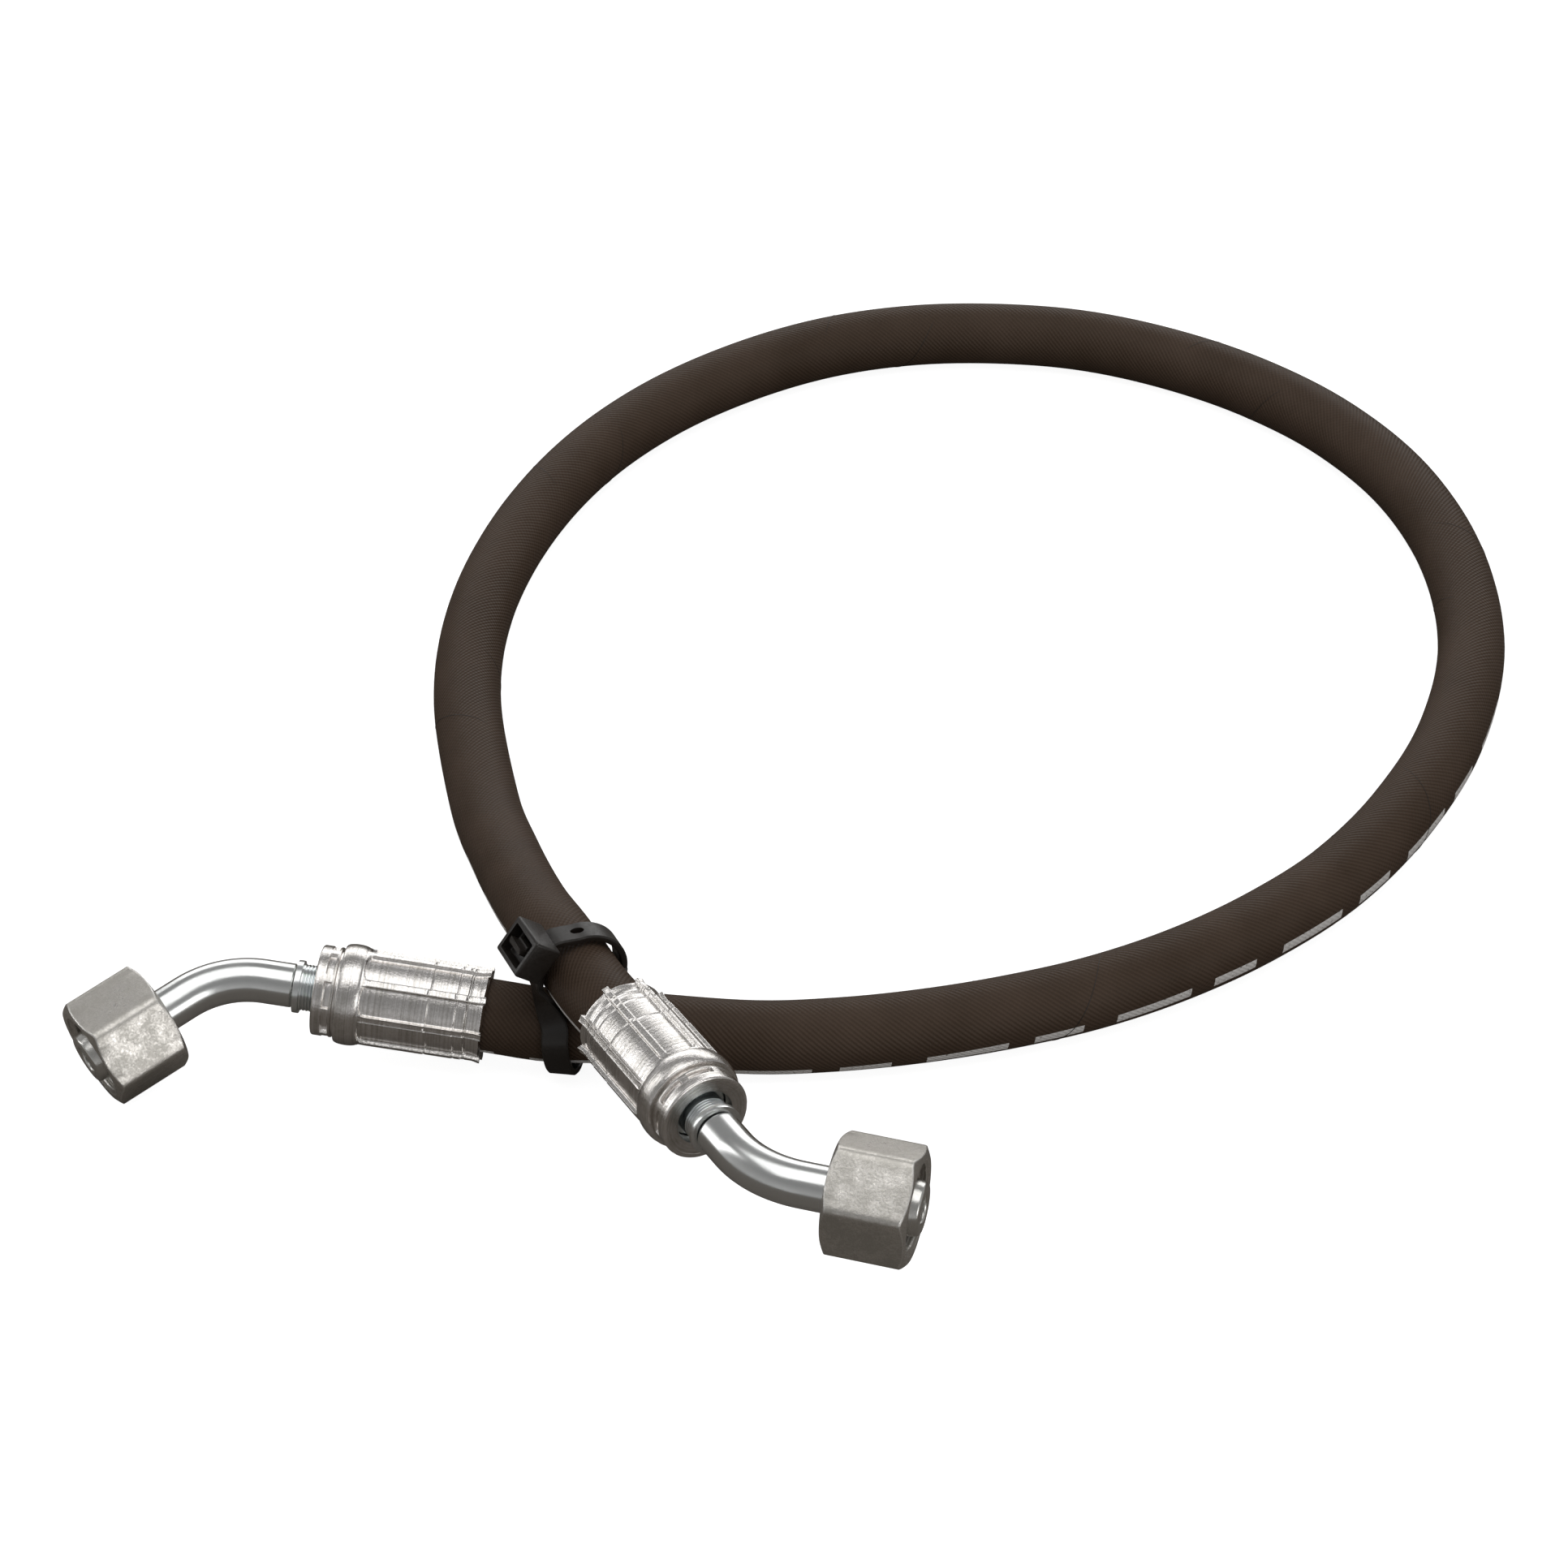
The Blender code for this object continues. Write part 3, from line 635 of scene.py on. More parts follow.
BRIGHT = zinc("bright zinc", (0.88, 0.85, 0.83), (0.50, 0.48, 0.44), (0.12, 0.22), 0.5,
              0.95, 0.026 * MM, 0.12 * MM, 0.3)
DULL = zinc("dull zinc", (0.76, 0.73, 0.69), (0.52, 0.50, 0.46), (0.24, 0.42), 1.0,
            0.5, 0.014 * MM, 0.45 * MM)
CONE = zinc("turned zinc", (0.74, 0.73, 0.70), (0.56, 0.55, 0.52), (0.18, 0.30), 0.5,
            1.0, 0.010 * MM, 0.2 * MM)
NECK = neck_zinc("neck zinc")
TUBE = tube_zinc("tube zinc")
COVER = cover_rubber("wrapped rubber")
WIRE = braid_wire("braid wire")
LINER = plain_black("liner rubber", (0.012, 0.012, 0.012), 0.6, 2500.0, 0.01 * MM)
SEAL = plain_black("seal rubber", (0.008, 0.008, 0.008), 0.4, 3000.0, 0.005 * MM)
NYLON = plain_black("black nylon", (0.010, 0.0080, 0.0065), 0.36, 1800.0, 0.012 * MM)
SEAM = plain_black("seam rubber", (0.008, 0.0055, 0.004), 0.5, 2500.0, 0.01 * MM)
print("finishes:", len(bpy.data.materials))

# %% [markdown]
# ## Hose
#
# The hose is a liner, one braid of wire and a wrapped cover. The route is a smooth curve
# through points on the floor; the ends run straight into the ferrules. A cloth simulation
# would give a plausible loop too, but not this one, so the curve is given. Each layer is one
# tube swept along the same points. The `hose_place` attribute holds where a point would be if
# the hose were pulled straight, so that the weave and the layline follow it round the loop.

# %% Hose route
RING_STEP = 3.0 * MM
STRAIGHT_LEAD = 11 * MM


def hose_route():
    ends = []
    for end in (END_A, END_B):
        axes = end_matrix(end)
        ends.append([axes @ Vector((x, 0, 0)) for x in (HOSE_END, 0, -STRAIGHT_LEAD)])
    middle = [Vector(point) * MM for point in ROUTE_MM]
    return smooth_route(ends[0] + middle + ends[1][::-1])


raw_route = np.array(hose_route())
HOSE_LENGTH = float(np.linalg.norm(np.diff(raw_route, axis=0), axis=1).sum())
centres = spaced(raw_route, round(HOSE_LENGTH / RING_STEP) + 1)
along = np.linspace(0, HOSE_LENGTH, len(centres))
ways, lefts, ups = upright_frames(centres)
print("hose length", round(HOSE_LENGTH, 4), "m in", len(centres), "rings")

# %% Hose layers
LAYLINE_AT = (0.0, 0.09, 0.16, 0.22, 0.60, 0.78)
LAYLINE_DEGREES = (219, 210, 188, 183, 186, 203)
layline = np.radians(np.interp(along, LAYLINE_AT, LAYLINE_DEGREES))


def hose_ring_points(radius, sides):
    turns = np.linspace(0, math.tau, sides, endpoint=False)
    arms = (lefts[:, None] * np.cos(turns)[None, :, None]
            + ups[:, None] * np.sin(turns)[None, :, None])
    return centres[:, None] + arms * radius, turns


def add_hose_layer(name, outer, wall, finish, sides):
    skin, turns = hose_ring_points(outer, sides)
    bore, _ = hose_ring_points(outer - wall, sides)
    rings = np.concatenate([skin, bore[::-1]])
    faces = grid_faces(len(rings), sides, True)
    made = add_piece(name, rings.reshape(-1, 3), faces, finish)
    relative = turns[None, :] - layline[:, None]
    straight = np.stack([np.repeat(along[:, None], sides, axis=1),
                         outer * np.cos(relative), outer * np.sin(relative)], axis=-1)
    straight = np.concatenate([straight, straight[::-1]]).astype(np.float32)
    place = made.data.attributes.new("hose_place", "FLOAT_VECTOR", "POINT")
    place.data.foreach_set("vector", straight.ravel())
    return made


SEAM_FIRST = 0.115
SEAM_SPACING = 0.085
SEAM_ADVANCE = 26 * MM
SEAM_WIDTH = 0.35 * MM
SEAM_HEIGHT = 0.07 * MM
SEAM_SAMPLES = 96


def seam_points(start):
    """Rings of a thin raised line that winds once round the hose from start."""
    rings = []
    for k in range(SEAM_SAMPLES + 1):
        share = k / SEAM_SAMPLES
        at = start + SEAM_ADVANCE * share
        turn = math.radians(60) - math.tau * share
        spot, way, left, up = (np.array([np.interp(at, along, line[:, i]) for i in range(3)])
                               for line in (centres, ways, lefts, ups))
        arm = left * math.cos(turn) + up * math.sin(turn)
        thin = math.sin(math.pi * share) ** 0.3
        half = SEAM_WIDTH / 2 * max(thin, 0.2)
        low, high = HOSE_RADIUS - 0.15 * MM, HOSE_RADIUS + SEAM_HEIGHT * thin - 0.01 * MM
        rings.append([spot + arm * low - way * half, spot + arm * high - way * half * 0.4,
                      spot + arm * high + way * half * 0.4, spot + arm * low + way * half])
    return rings


def add_seams():
    """The marks left by the ends of the cloth wrap, as one piece."""
    points, faces = [], []
    start = SEAM_FIRST
    while start + SEAM_ADVANCE < HOSE_LENGTH - 2 * FERRULE_LENGTH:
        first, rings = len(points), seam_points(start)
        points += [point for ring in rings for point in ring]
        faces += grid_faces(len(rings), 4, False, first)
        last = first + 4 * (len(rings) - 1)
        faces += [tuple(range(first, first + 4)), tuple(range(last, last + 4))]
        start += SEAM_SPACING
    return add_piece("wrap_seams", points, faces, SEAM)


cover = add_hose_layer("rubber_cover", HOSE_RADIUS, COVER_WALL, COVER, 48)
braid = add_hose_layer("braided_wire", HOSE_RADIUS - COVER_WALL - GAP, BRAID_WALL, WIRE, 24)
liner = add_hose_layer("rubber_liner", HOSE_RADIUS - COVER_WALL - BRAID_WALL - 2 * GAP,
                       LINER_WALL, LINER, 24)
for made, node, slot in ((cover, "hose_cover", "cover_rubber"),
                         (braid, "wire_braid", "braid_wire"),
                         (liner, "inner_tube", "liner_rubber")):
    stand_in(made, "root", node)
seams = add_seams()
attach(seams, "root")
print("cover has", len(cover.data.polygons), "faces")

# %% [markdown]
# ## Ferrules
#
# Each ferrule is a turned steel sleeve, swaged on by eight dies. The dies press eight shallow
# panels, which end in a round tip near the front, and leave a narrow ridge of metal between
# one another. Their steps leave fine rings. In front are a smooth bulge, a waist and a collar
# with eight pockets, then a flat turned face. One radius function of the place along and round
# the sleeve gives all of it; cutting it with Booleans would take forty cutters.

# %% Ferrules
PANEL_COUNT = 8
PANEL_DEPTH = 0.68 * MM
RIDGE_HALF_WIDTH = 0.62 * MM
RIDGE_TOP = FERRULE_RADIUS + 0.32 * MM
PANEL_TIP = 1.5 * MM
DIE_RINGS = (9.9 * MM, 4.9 * MM, 3.1 * MM, 2.6 * MM)
DIE_RING_DEPTH = 0.17 * MM
DIE_RING_WIDTH = 0.13 * MM
DIE_RING_SCATTER = 0.28
DIE_STEP = 0.05 * MM
RING_LAG_ON_RIDGE = 0.35 * MM
LIP_HEIGHT = 0.15 * MM
LIP_WIDTH = 0.12 * MM
BULGE_ROOT = 0.15 * MM
REAR_FLARE = 0.28 * MM
REAR_FLARE_LENGTH = 1.6 * MM
RAGGED = 0.05 * MM
WAIST_RADIUS = 7.75 * MM
WAIST_LENGTH = 0.55 * MM
POCKET_START = 27.8 * MM
POCKET_LENGTH = 1.35 * MM
POCKET_DEPTH = 0.75 * MM
RIB_HALF_WIDTH = 0.75 * MM
RIM_ROUND = 0.35 * MM
EDGE = 0.14 * MM
COARSE, FINE = 0.35 * MM, 0.09 * MM
FINE_ZONES = ((2.1, 3.9), (4.4, 5.8), (9.4, 10.8), (20.8, 23.2), (26.4, 29.4), (30.5, 31.0))
SECTOR_MM = (0.0, 0.25, 0.45, 0.52, 0.56, 0.60, 0.64, 0.68, 0.73, 0.80, 0.90, 1.1, 1.5, 2.0, 2.6)
RIDGE_TURN = {"a": 37.8, "b": 22.0}
REAR_NOTCH = 0.45 * MM


PANEL_SHARE = math.tau / PANEL_COUNT


def off_nearest_ridge(turn):
    """Distance round the sleeve from the middle of the nearest ridge."""
    half = PANEL_SHARE / 2
    return np.abs((turn + half) % PANEL_SHARE - half) * FERRULE_RADIUS


def ferrule_radius(x, turn, rng):
    """Outside radius at each place along (rows) and round (columns) the sleeve."""
    panel = np.floor(turn / PANEL_SHARE).astype(int) % PANEL_COUNT
    off_ridge = off_nearest_ridge(turn)
    off_middle = PANEL_SHARE / 2 * FERRULE_RADIUS - off_ridge
    half = PANEL_SHARE / 2 * FERRULE_RADIUS - RIDGE_HALF_WIDTH
    tip_start = BULGE_START - PANEL_TIP - BULGE_ROOT
    into_tip = np.clip((x - tip_start) / PANEL_TIP, 0, 1)
    half_here = half * (1 - into_tip**3) ** (1 / 3)
    pressed = 1 - step(-EDGE / 2, EDGE / 2, off_middle - half_here)
    pressed = np.where(into_tip >= 1, 0, pressed)
    lip = LIP_HEIGHT * np.exp(-((off_ridge - RIDGE_HALF_WIDTH) / LIP_WIDTH) ** 2)
    radius = RIDGE_TOP - PANEL_DEPTH * pressed + lip * (1 - into_tip)
    spread = (-DIE_RING_SCATTER, DIE_RING_SCATTER, (len(DIE_RINGS), PANEL_COUNT))
    offsets = rng.uniform(*spread) * MM
    on_ridge = step(0, EDGE, RIDGE_HALF_WIDTH - off_ridge)
    for ring, at in enumerate(DIE_RINGS):
        place = at + offsets[ring][panel] + RING_LAG_ON_RIDGE * on_ridge
        radius = radius - DIE_RING_DEPTH * np.exp(-((x - place) / DIE_RING_WIDTH) ** 2)
        radius = radius - DIE_STEP * step(0, EDGE, place - x)
    radius = radius + REAR_FLARE * (1 - step(0, REAR_FLARE_LENGTH, x))
    bulge_middle = BULGE_START + BULGE_LENGTH / 2
    across = np.clip((x - bulge_middle) / (BULGE_LENGTH / 2), -1, 1)
    root = RIDGE_TOP - BULGE_ROOT
    bulge = root + (BULGE_RADIUS - root) * np.sqrt(1 - across**2)
    radius = np.where(x > BULGE_START, bulge, radius)
    bulge_end = BULGE_START + BULGE_LENGTH
    front = COLLAR_RADIUS - (COLLAR_RADIUS - WAIST_RADIUS) * (
        1 - step(bulge_end + WAIST_LENGTH - EDGE, bulge_end + WAIST_LENGTH, x))
    pocket = (step(POCKET_START, POCKET_START + EDGE, x)
              * (1 - step(POCKET_START + POCKET_LENGTH - EDGE, POCKET_START + POCKET_LENGTH, x))
              * step(RIB_HALF_WIDTH, RIB_HALF_WIDTH + EDGE, off_ridge))
    front = front - POCKET_DEPTH * pocket
    into_rim = np.clip((x - (FERRULE_LENGTH - RIM_ROUND)) / RIM_ROUND, 0, 1)
    front = front - RIM_ROUND * (1 - np.sqrt(1 - into_rim**2))
    return np.where(x > bulge_end, front, radius)


def ferrule_grid():
    """Places along and turns round the sleeve, close together at its sharp edges."""
    xs = [np.arange(0, FERRULE_LENGTH, COARSE), [FERRULE_LENGTH]]
    xs += [np.arange(low * MM, high * MM, FINE) for low, high in FINE_ZONES]
    xs = np.unique(np.round(np.concatenate(xs), 6))
    half = np.array(SECTOR_MM) * MM / FERRULE_RADIUS
    sector = np.concatenate([-half[:0:-1], half])
    turns = np.concatenate([sector + PANEL_SHARE * k for k in range(PANEL_COUNT)])
    return xs[:, None], turns


def add_ferrule(letter, matrix):
    rng = np.random.default_rng(SEED + ord(letter))
    xs, turned_by = ferrule_grid()
    turns = turned_by + math.radians(RIDGE_TURN[letter])
    turned_by = turned_by % math.tau
    sides = len(turns)
    radii = ferrule_radius(xs, turned_by[None, :], rng)
    ragged = sum(rng.uniform(-1, 1) * np.sin(k * turns + rng.uniform(0, math.tau))
                 for k in range(3, 14)) * RAGGED
    outer_x = np.repeat(xs, sides, axis=1)
    notch = REAR_NOTCH * step(RIDGE_HALF_WIDTH, RIDGE_HALF_WIDTH + 2 * EDGE,
                              off_nearest_ridge(turned_by))
    outer_x += np.clip(ragged + notch, 0, None) * (1 - xs / FERRULE_LENGTH) ** 8
    inside = HOSE_RADIUS + GAP
    profile = [(FERRULE_LENGTH, COLLAR_RADIUS - RIM_ROUND - 0.5 * MM),
               (FERRULE_LENGTH - 0.06 * MM, COLLAR_RADIUS - RIM_ROUND - 0.6 * MM),
               (FERRULE_LENGTH - 0.06 * MM, LIP_BORE_RADIUS + 0.35 * MM),
               (FERRULE_LENGTH - 0.12 * MM, LIP_BORE_RADIUS + 0.1 * MM),
               (FERRULE_LENGTH - 0.3 * MM, LIP_BORE_RADIUS),
               (FERRULE_LENGTH - LIP_LENGTH, LIP_BORE_RADIUS),
               (FERRULE_LENGTH - LIP_LENGTH, inside), (0.5 * MM, inside),
               (0.1 * MM, inside + 0.25 * MM)]
    inner_x = np.repeat(np.array([[x] for x, _ in profile]), sides, axis=1)
    inner_r = np.repeat(np.array([[r] for _, r in profile]), sides, axis=1)
    rings = around_x(np.concatenate([outer_x, inner_x]), np.concatenate([radii, inner_r]), turns)
    faces = grid_faces(len(rings), sides, True)
    return add_piece("crimped_sleeve_" + letter, rings.reshape(-1, 3), faces, BRIGHT, matrix)


pieces = {"a": [], "b": []}


def fit_both(build, node):
    """Builds a piece for each end, in place of that end's CAD node."""
    for letter, end in ENDS.items():
        made = build(letter, end_matrix(end))
        stand_in(made, "root", node + letter)
        pieces[letter].append(made)
    return made


made = fit_both(add_ferrule, "ferrule_")
print("a ferrule has", len(made.data.polygons), "faces")

# %% [markdown]
# ## Stems and elbow tubes
#
# The stem is turned from bar: barbs inside the hose, a shoulder behind the ferrule's lip and a
# neck with fine rings that ends in a collar. The tube is cold drawn and bent by 45 degrees. On
# the real fitting the two are brazed or one piece; the CAD model keeps them apart, and so does
# this.

# %% Stems
NECK_GROOVES = (0.55 * MM, 1.15 * MM, 1.75 * MM, 2.35 * MM)
GROOVE_DEPTH = 0.22 * MM
GROOVE_HALF = 0.16 * MM


def stem_outline():
    insert = HOSE_RADIUS - COVER_WALL - BRAID_WALL - LINER_WALL - 3 * GAP
    shoulder_end = FERRULE_LENGTH - LIP_LENGTH - GAP
    shoulder_start = shoulder_end - SHOULDER_LENGTH
    tip, barbs = 2.0 * MM, 5
    pitch = (shoulder_start - 3 * tip) / barbs
    outline = [(tip, STEM_BORE_RADIUS + 0.3 * MM)]
    for i in range(barbs):
        start = 1.5 * tip + i * pitch
        outline += [(start, insert - 0.3 * MM), (start + 0.8 * pitch, insert)]
    outline += [(shoulder_start, insert), (shoulder_start, SHOULDER_RADIUS),
                (shoulder_end, SHOULDER_RADIUS), (shoulder_end, NECK_RADIUS)]
    for groove in NECK_GROOVES:
        at = FERRULE_LENGTH + groove
        outline += [(at - GROOVE_HALF, NECK_RADIUS), (at, NECK_RADIUS - GROOVE_DEPTH),
                    (at + GROOVE_HALF, NECK_RADIUS)]
    collar = STEM_END - END_COLLAR_LENGTH
    outline += [(collar, NECK_RADIUS), (collar, END_COLLAR_RADIUS),
                (STEM_END, END_COLLAR_RADIUS), (STEM_END, STEM_BORE_RADIUS),
                (tip, STEM_BORE_RADIUS)]
    return outline


def add_stem(letter, matrix):
    return add_turned("barbed_stem_" + letter, stem_outline(), NECK, matrix, 72, 0.08 * MM)


fit_both(add_stem, "stem_")
print("stems reach", round(STEM_END / MM, 1), "mm from the ferrule's rear edge")

# %% Elbow tubes
BEND_SAMPLES = 28
TUBE_SIDES = 56
TUBE_END_ROUND = 0.25 * MM


def elbow_route():
    points = [(STEM_END + GAP, 0, 0), (STEM_END + GAP + TUBE_END_ROUND, 0, 0)]
    for i in range(BEND_SAMPLES + 1):
        turn = BEND_ANGLE * i / BEND_SAMPLES
        points.append((BEND_START + BEND_RADIUS * math.sin(turn),
                       BEND_RADIUS * (1 - math.cos(turn)), 0))
    way = Vector((math.cos(BEND_ANGLE), math.sin(BEND_ANGLE), 0))
    points.append(swivel_place() + way * (HEAD_REAR + SOCKET_DEPTH - GAP))
    return np.array([tuple(p) for p in points])


def add_tube(letter, matrix):
    route = elbow_route()
    route_ways = unit(np.gradient(route, axis=0))
    route_ways[:2] = (1, 0, 0)
    arm = np.cross((0, 0, 1), route_ways)
    turns = np.linspace(0, math.tau, TUBE_SIDES, endpoint=False)
    up = np.array((0.0, 0.0, 1.0))
    arms = (arm[:, None] * np.cos(turns)[None, :, None]
            + up * np.sin(turns)[None, :, None])
    outer = np.full(len(route), TUBE_RADIUS)
    outer[0] -= TUBE_END_ROUND
    skin = route[:, None] + arms * outer[:, None, None]
    bore = route[:, None] + arms * TUBE_BORE_RADIUS
    rings = np.concatenate([skin, bore[::-1]])
    faces = grid_faces(len(rings), TUBE_SIDES, True)
    return add_piece("bent_tube_" + letter, rings.reshape(-1, 3), faces, TUBE, matrix)


fit_both(add_tube, "elbow_tube_")
print("tube bend", round(math.degrees(BEND_ANGLE)), "degrees on", BEND_RADIUS / MM, "mm")

# %% [markdown]
# ## Sealing heads
#
# The cone head is what seals: a 24 degree nose with an O-ring, held by the nut. It is turned,
# so an outline turned about the axis gives it. Its nose stands a little out of the nut.

# %% Sealing heads
NOSE_ROUND = 0.3 * MM


def cone_outline():
    rear_radius = TUBE_RADIUS + GAP + 0.8 * MM
    flare_end = HEAD_REAR + CONE_SHOULDER_RADIUS - rear_radius
    groove_end = O_RING_START + 2 * (O_RING_SECTION + GAP)
    nose = NUT_LENGTH + CONE_PROUD
    cone_radius = CONE_SHOULDER_RADIUS - 0.4 * MM
    groove_edge = cone_radius - (groove_end - O_RING_START) * CONE_SLOPE
    nose_radius = cone_radius - (nose - O_RING_START) * CONE_SLOPE
    socket_end = HEAD_REAR + SOCKET_DEPTH
    return [(HEAD_REAR, rear_radius), (flare_end, CONE_SHOULDER_RADIUS),
            (O_RING_START - 0.8 * MM, CONE_SHOULDER_RADIUS), (O_RING_START, cone_radius),
            (O_RING_START, O_RING_SEAT), (groove_end, O_RING_SEAT), (groove_end, groove_edge),
            (nose - NOSE_ROUND, nose_radius + NOSE_ROUND * CONE_SLOPE),
            (nose, nose_radius - NOSE_ROUND), (nose, TUBE_BORE_RADIUS + 0.3 * MM),
            (nose - 0.3 * MM, TUBE_BORE_RADIUS), (socket_end, TUBE_BORE_RADIUS),
            (socket_end, TUBE_RADIUS + GAP), (HEAD_REAR, TUBE_RADIUS + GAP)]


def ring_outline(middle, centre, radius, count=16):
    turns = np.linspace(0, math.tau, count, endpoint=False)
    return [(middle - radius * math.cos(t), centre + radius * math.sin(t)) for t in turns]


for letter, end in ENDS.items():
    head = add_turned("sealing_cone_" + letter, cone_outline(), CONE, swivel_matrix(end), 80)
    middle = O_RING_START + GAP + O_RING_SECTION
    centre = O_RING_SEAT + GAP + O_RING_SECTION
    ring = add_turned("seal_ring_" + letter, ring_outline(middle, centre, O_RING_SECTION),
                      SEAL, swivel_matrix(end), 64)
    for made, node, slot in ((head, "cone_head_", "zinc_bright"), (ring, "o_ring_", "seal_rubber")):
        stand_in(made, "root", node + letter)
        pieces[letter].append(made)
print("cone nose", round(CONE_PROUD / MM, 1), "mm proud of the nut")

# %% [markdown]
# ## Swivel nuts
#
# A forged hexagon of 19 mm, chamfered by 30 degrees at both ends and threaded M16 x 1.5. The
# chamfer cone meets the flats in curved arcs, so its ring follows the hexagon's radius. The
# thread is a real helix in the bore, not a bump, because its first turns show in the mouth.

# %% Swivel nuts
NUT_SIDES = 216
CORNER_ROUND = 0.25 * MM
FACE_STEP = 0.10 * MM
THREAD_RINGS = 64
FACE_INSET = 0.2 * MM
FACE_RIM = 0.6 * MM
SEAT_RIM = 0.8 * MM
THREAD_LEAD = 0.4 * MM
THREAD_RUN_OUT = 1.6 * MM
HOLE_CLEARANCE = 0.15 * MM


def hexagon_radii(turns):
    """Hexagon radius in each direction, with its corners slightly rounded."""
    half = NUT_ACROSS_FLATS / 2
    sixth = math.tau / 6
    off_flat = (turns + sixth / 2) % sixth - sixth / 2
    sharp = half / np.cos(off_flat)
    corner = half / math.cos(sixth / 2) - CORNER_ROUND
    return corner - np.logaddexp(0, (corner - sharp) / (0.12 * MM)) * 0.12 * MM


def add_nut(letter, matrix):
    turns = np.linspace(0, math.tau, NUT_SIDES, endpoint=False)
    hexagon = hexagon_radii(turns)
    circle = NUT_ACROSS_FLATS / 2 - FACE_INSET
    tangent = math.tan(NUT_CHAMFER)
    xs, radii = [], []

    def ring(x, radius):
        xs.append(np.broadcast_to(x, NUT_SIDES))
        radii.append(np.broadcast_to(radius, NUT_SIDES))

    inset = (hexagon - circle) * tangent
    ring(0.0, circle - FACE_RIM)
    ring(0.0, circle - FACE_STEP)
    ring(FACE_STEP * tangent, circle)
    for share in (0.5, 0.92):
        ring(inset * share, circle + (hexagon - circle) * share)
    ring(inset + FACE_STEP, hexagon)
    for share in (0.3, 0.7):
        ring(NUT_LENGTH * share, hexagon)
    ring(NUT_LENGTH - inset - FACE_STEP, hexagon)
    for share in (0.92, 0.5):
        ring(NUT_LENGTH - inset * share, circle + (hexagon - circle) * share)
    ring(NUT_LENGTH - FACE_STEP * tangent, circle)
    ring(NUT_LENGTH, circle - FACE_STEP)
    ring(NUT_LENGTH, THREAD_MOUTH_RADIUS + 0.15 * MM)
    ring(NUT_LENGTH - 0.15 * MM, THREAD_MOUTH_RADIUS)
    seat_radius = TUBE_RADIUS + GAP + SEAT_RIM
    seat_end = NUT_REAR_WALL + THREAD_MINOR_RADIUS - seat_radius
    thread_end = seat_end + THREAD_LEAD
    for x in np.linspace(NUT_LENGTH - THREAD_LEAD, thread_end, THREAD_RINGS):
        phase = (x / THREAD_PITCH - turns / math.tau) % 1
        tooth = np.clip(1.25 * (1 - 2 * np.abs(phase - 0.5)), 0.12, 1.0)
        fade = step(thread_end, seat_end + THREAD_RUN_OUT, x)
        depth = (THREAD_MOUTH_RADIUS - THREAD_MINOR_RADIUS) * (1 - tooth) * fade
        ring(x, THREAD_MINOR_RADIUS + depth)
    hole = TUBE_RADIUS + GAP + HOLE_CLEARANCE
    ring(seat_end, THREAD_MINOR_RADIUS)
    ring(NUT_REAR_WALL, seat_radius)
    ring(NUT_REAR_WALL, hole)
    ring(0.3 * MM, hole)
    ring(0.0, hole + 0.3 * MM)
    rings = around_x(np.array(xs), np.array(radii))
    faces = grid_faces(len(rings), NUT_SIDES, True)
    return add_piece("hex_nut_" + letter, rings.reshape(-1, 3), faces, DULL, matrix, 24)


for letter, end in ENDS.items():
    made = add_nut(letter, swivel_matrix(end, end["nut"]))
    stand_in(made, "nut_" + letter, "swivel_nut_" + letter)
    pieces[letter].append(made)
print("a nut has", len(made.data.polygons), "faces")

# %% [markdown]
# ## Cable tie
#
# One nylon moulding: a flat strap round both runs of hose that comes back out through the
# window of its own square head, where it was cut off short. The strap is swept along arcs round
# the two runs, and it lies flat where it touches the floor. The head is a bevelled block with
# a window that opens out into a wide mouth, a pawl in it and the cut stub of the tail.

# %% Cable tie
STRAP_CORNER = 0.28 * MM
HEAD_BEVEL = 0.45 * MM
HEAD_WALL = 1.0 * MM
MOUTH_DEPTH = 2.4 * MM
MOUTH_BEVEL = 0.3 * MM
WINDOW_SPARE = 0.9 * MM
THROUGH = 20 * MM
PAWL_THICKNESS = 0.9 * MM
PAWL_OFFSET = 0.75 * MM
PAWL_SIDE = 0.6 * MM
PAWL_END = 0.8 * MM
CUT_RAGGED = 0.3 * MM
HOLE_TURN = math.radians(88)
HOLE_SIZES = (1.6 * MM, 2.6 * MM, 4.0 * MM)


def hose_frame(target):
    """The hose's centre nearest to target, with its direction, left side and upper side."""
    target = np.array(target) * MM
    starts, runs = centres[:-1], np.diff(centres, axis=0)
    shares = np.sum((target - starts) * runs, axis=1) / np.sum(runs**2, axis=1)
    spots = starts + runs * np.clip(shares, 0, 1)[:, None]
    at = int(np.argmin(np.linalg.norm(spots - target, axis=1)))
    way = unit(runs[at])
    side = unit(np.cross((0, 0, 1), way))
    return spots[at], way, side, np.cross(way, side)


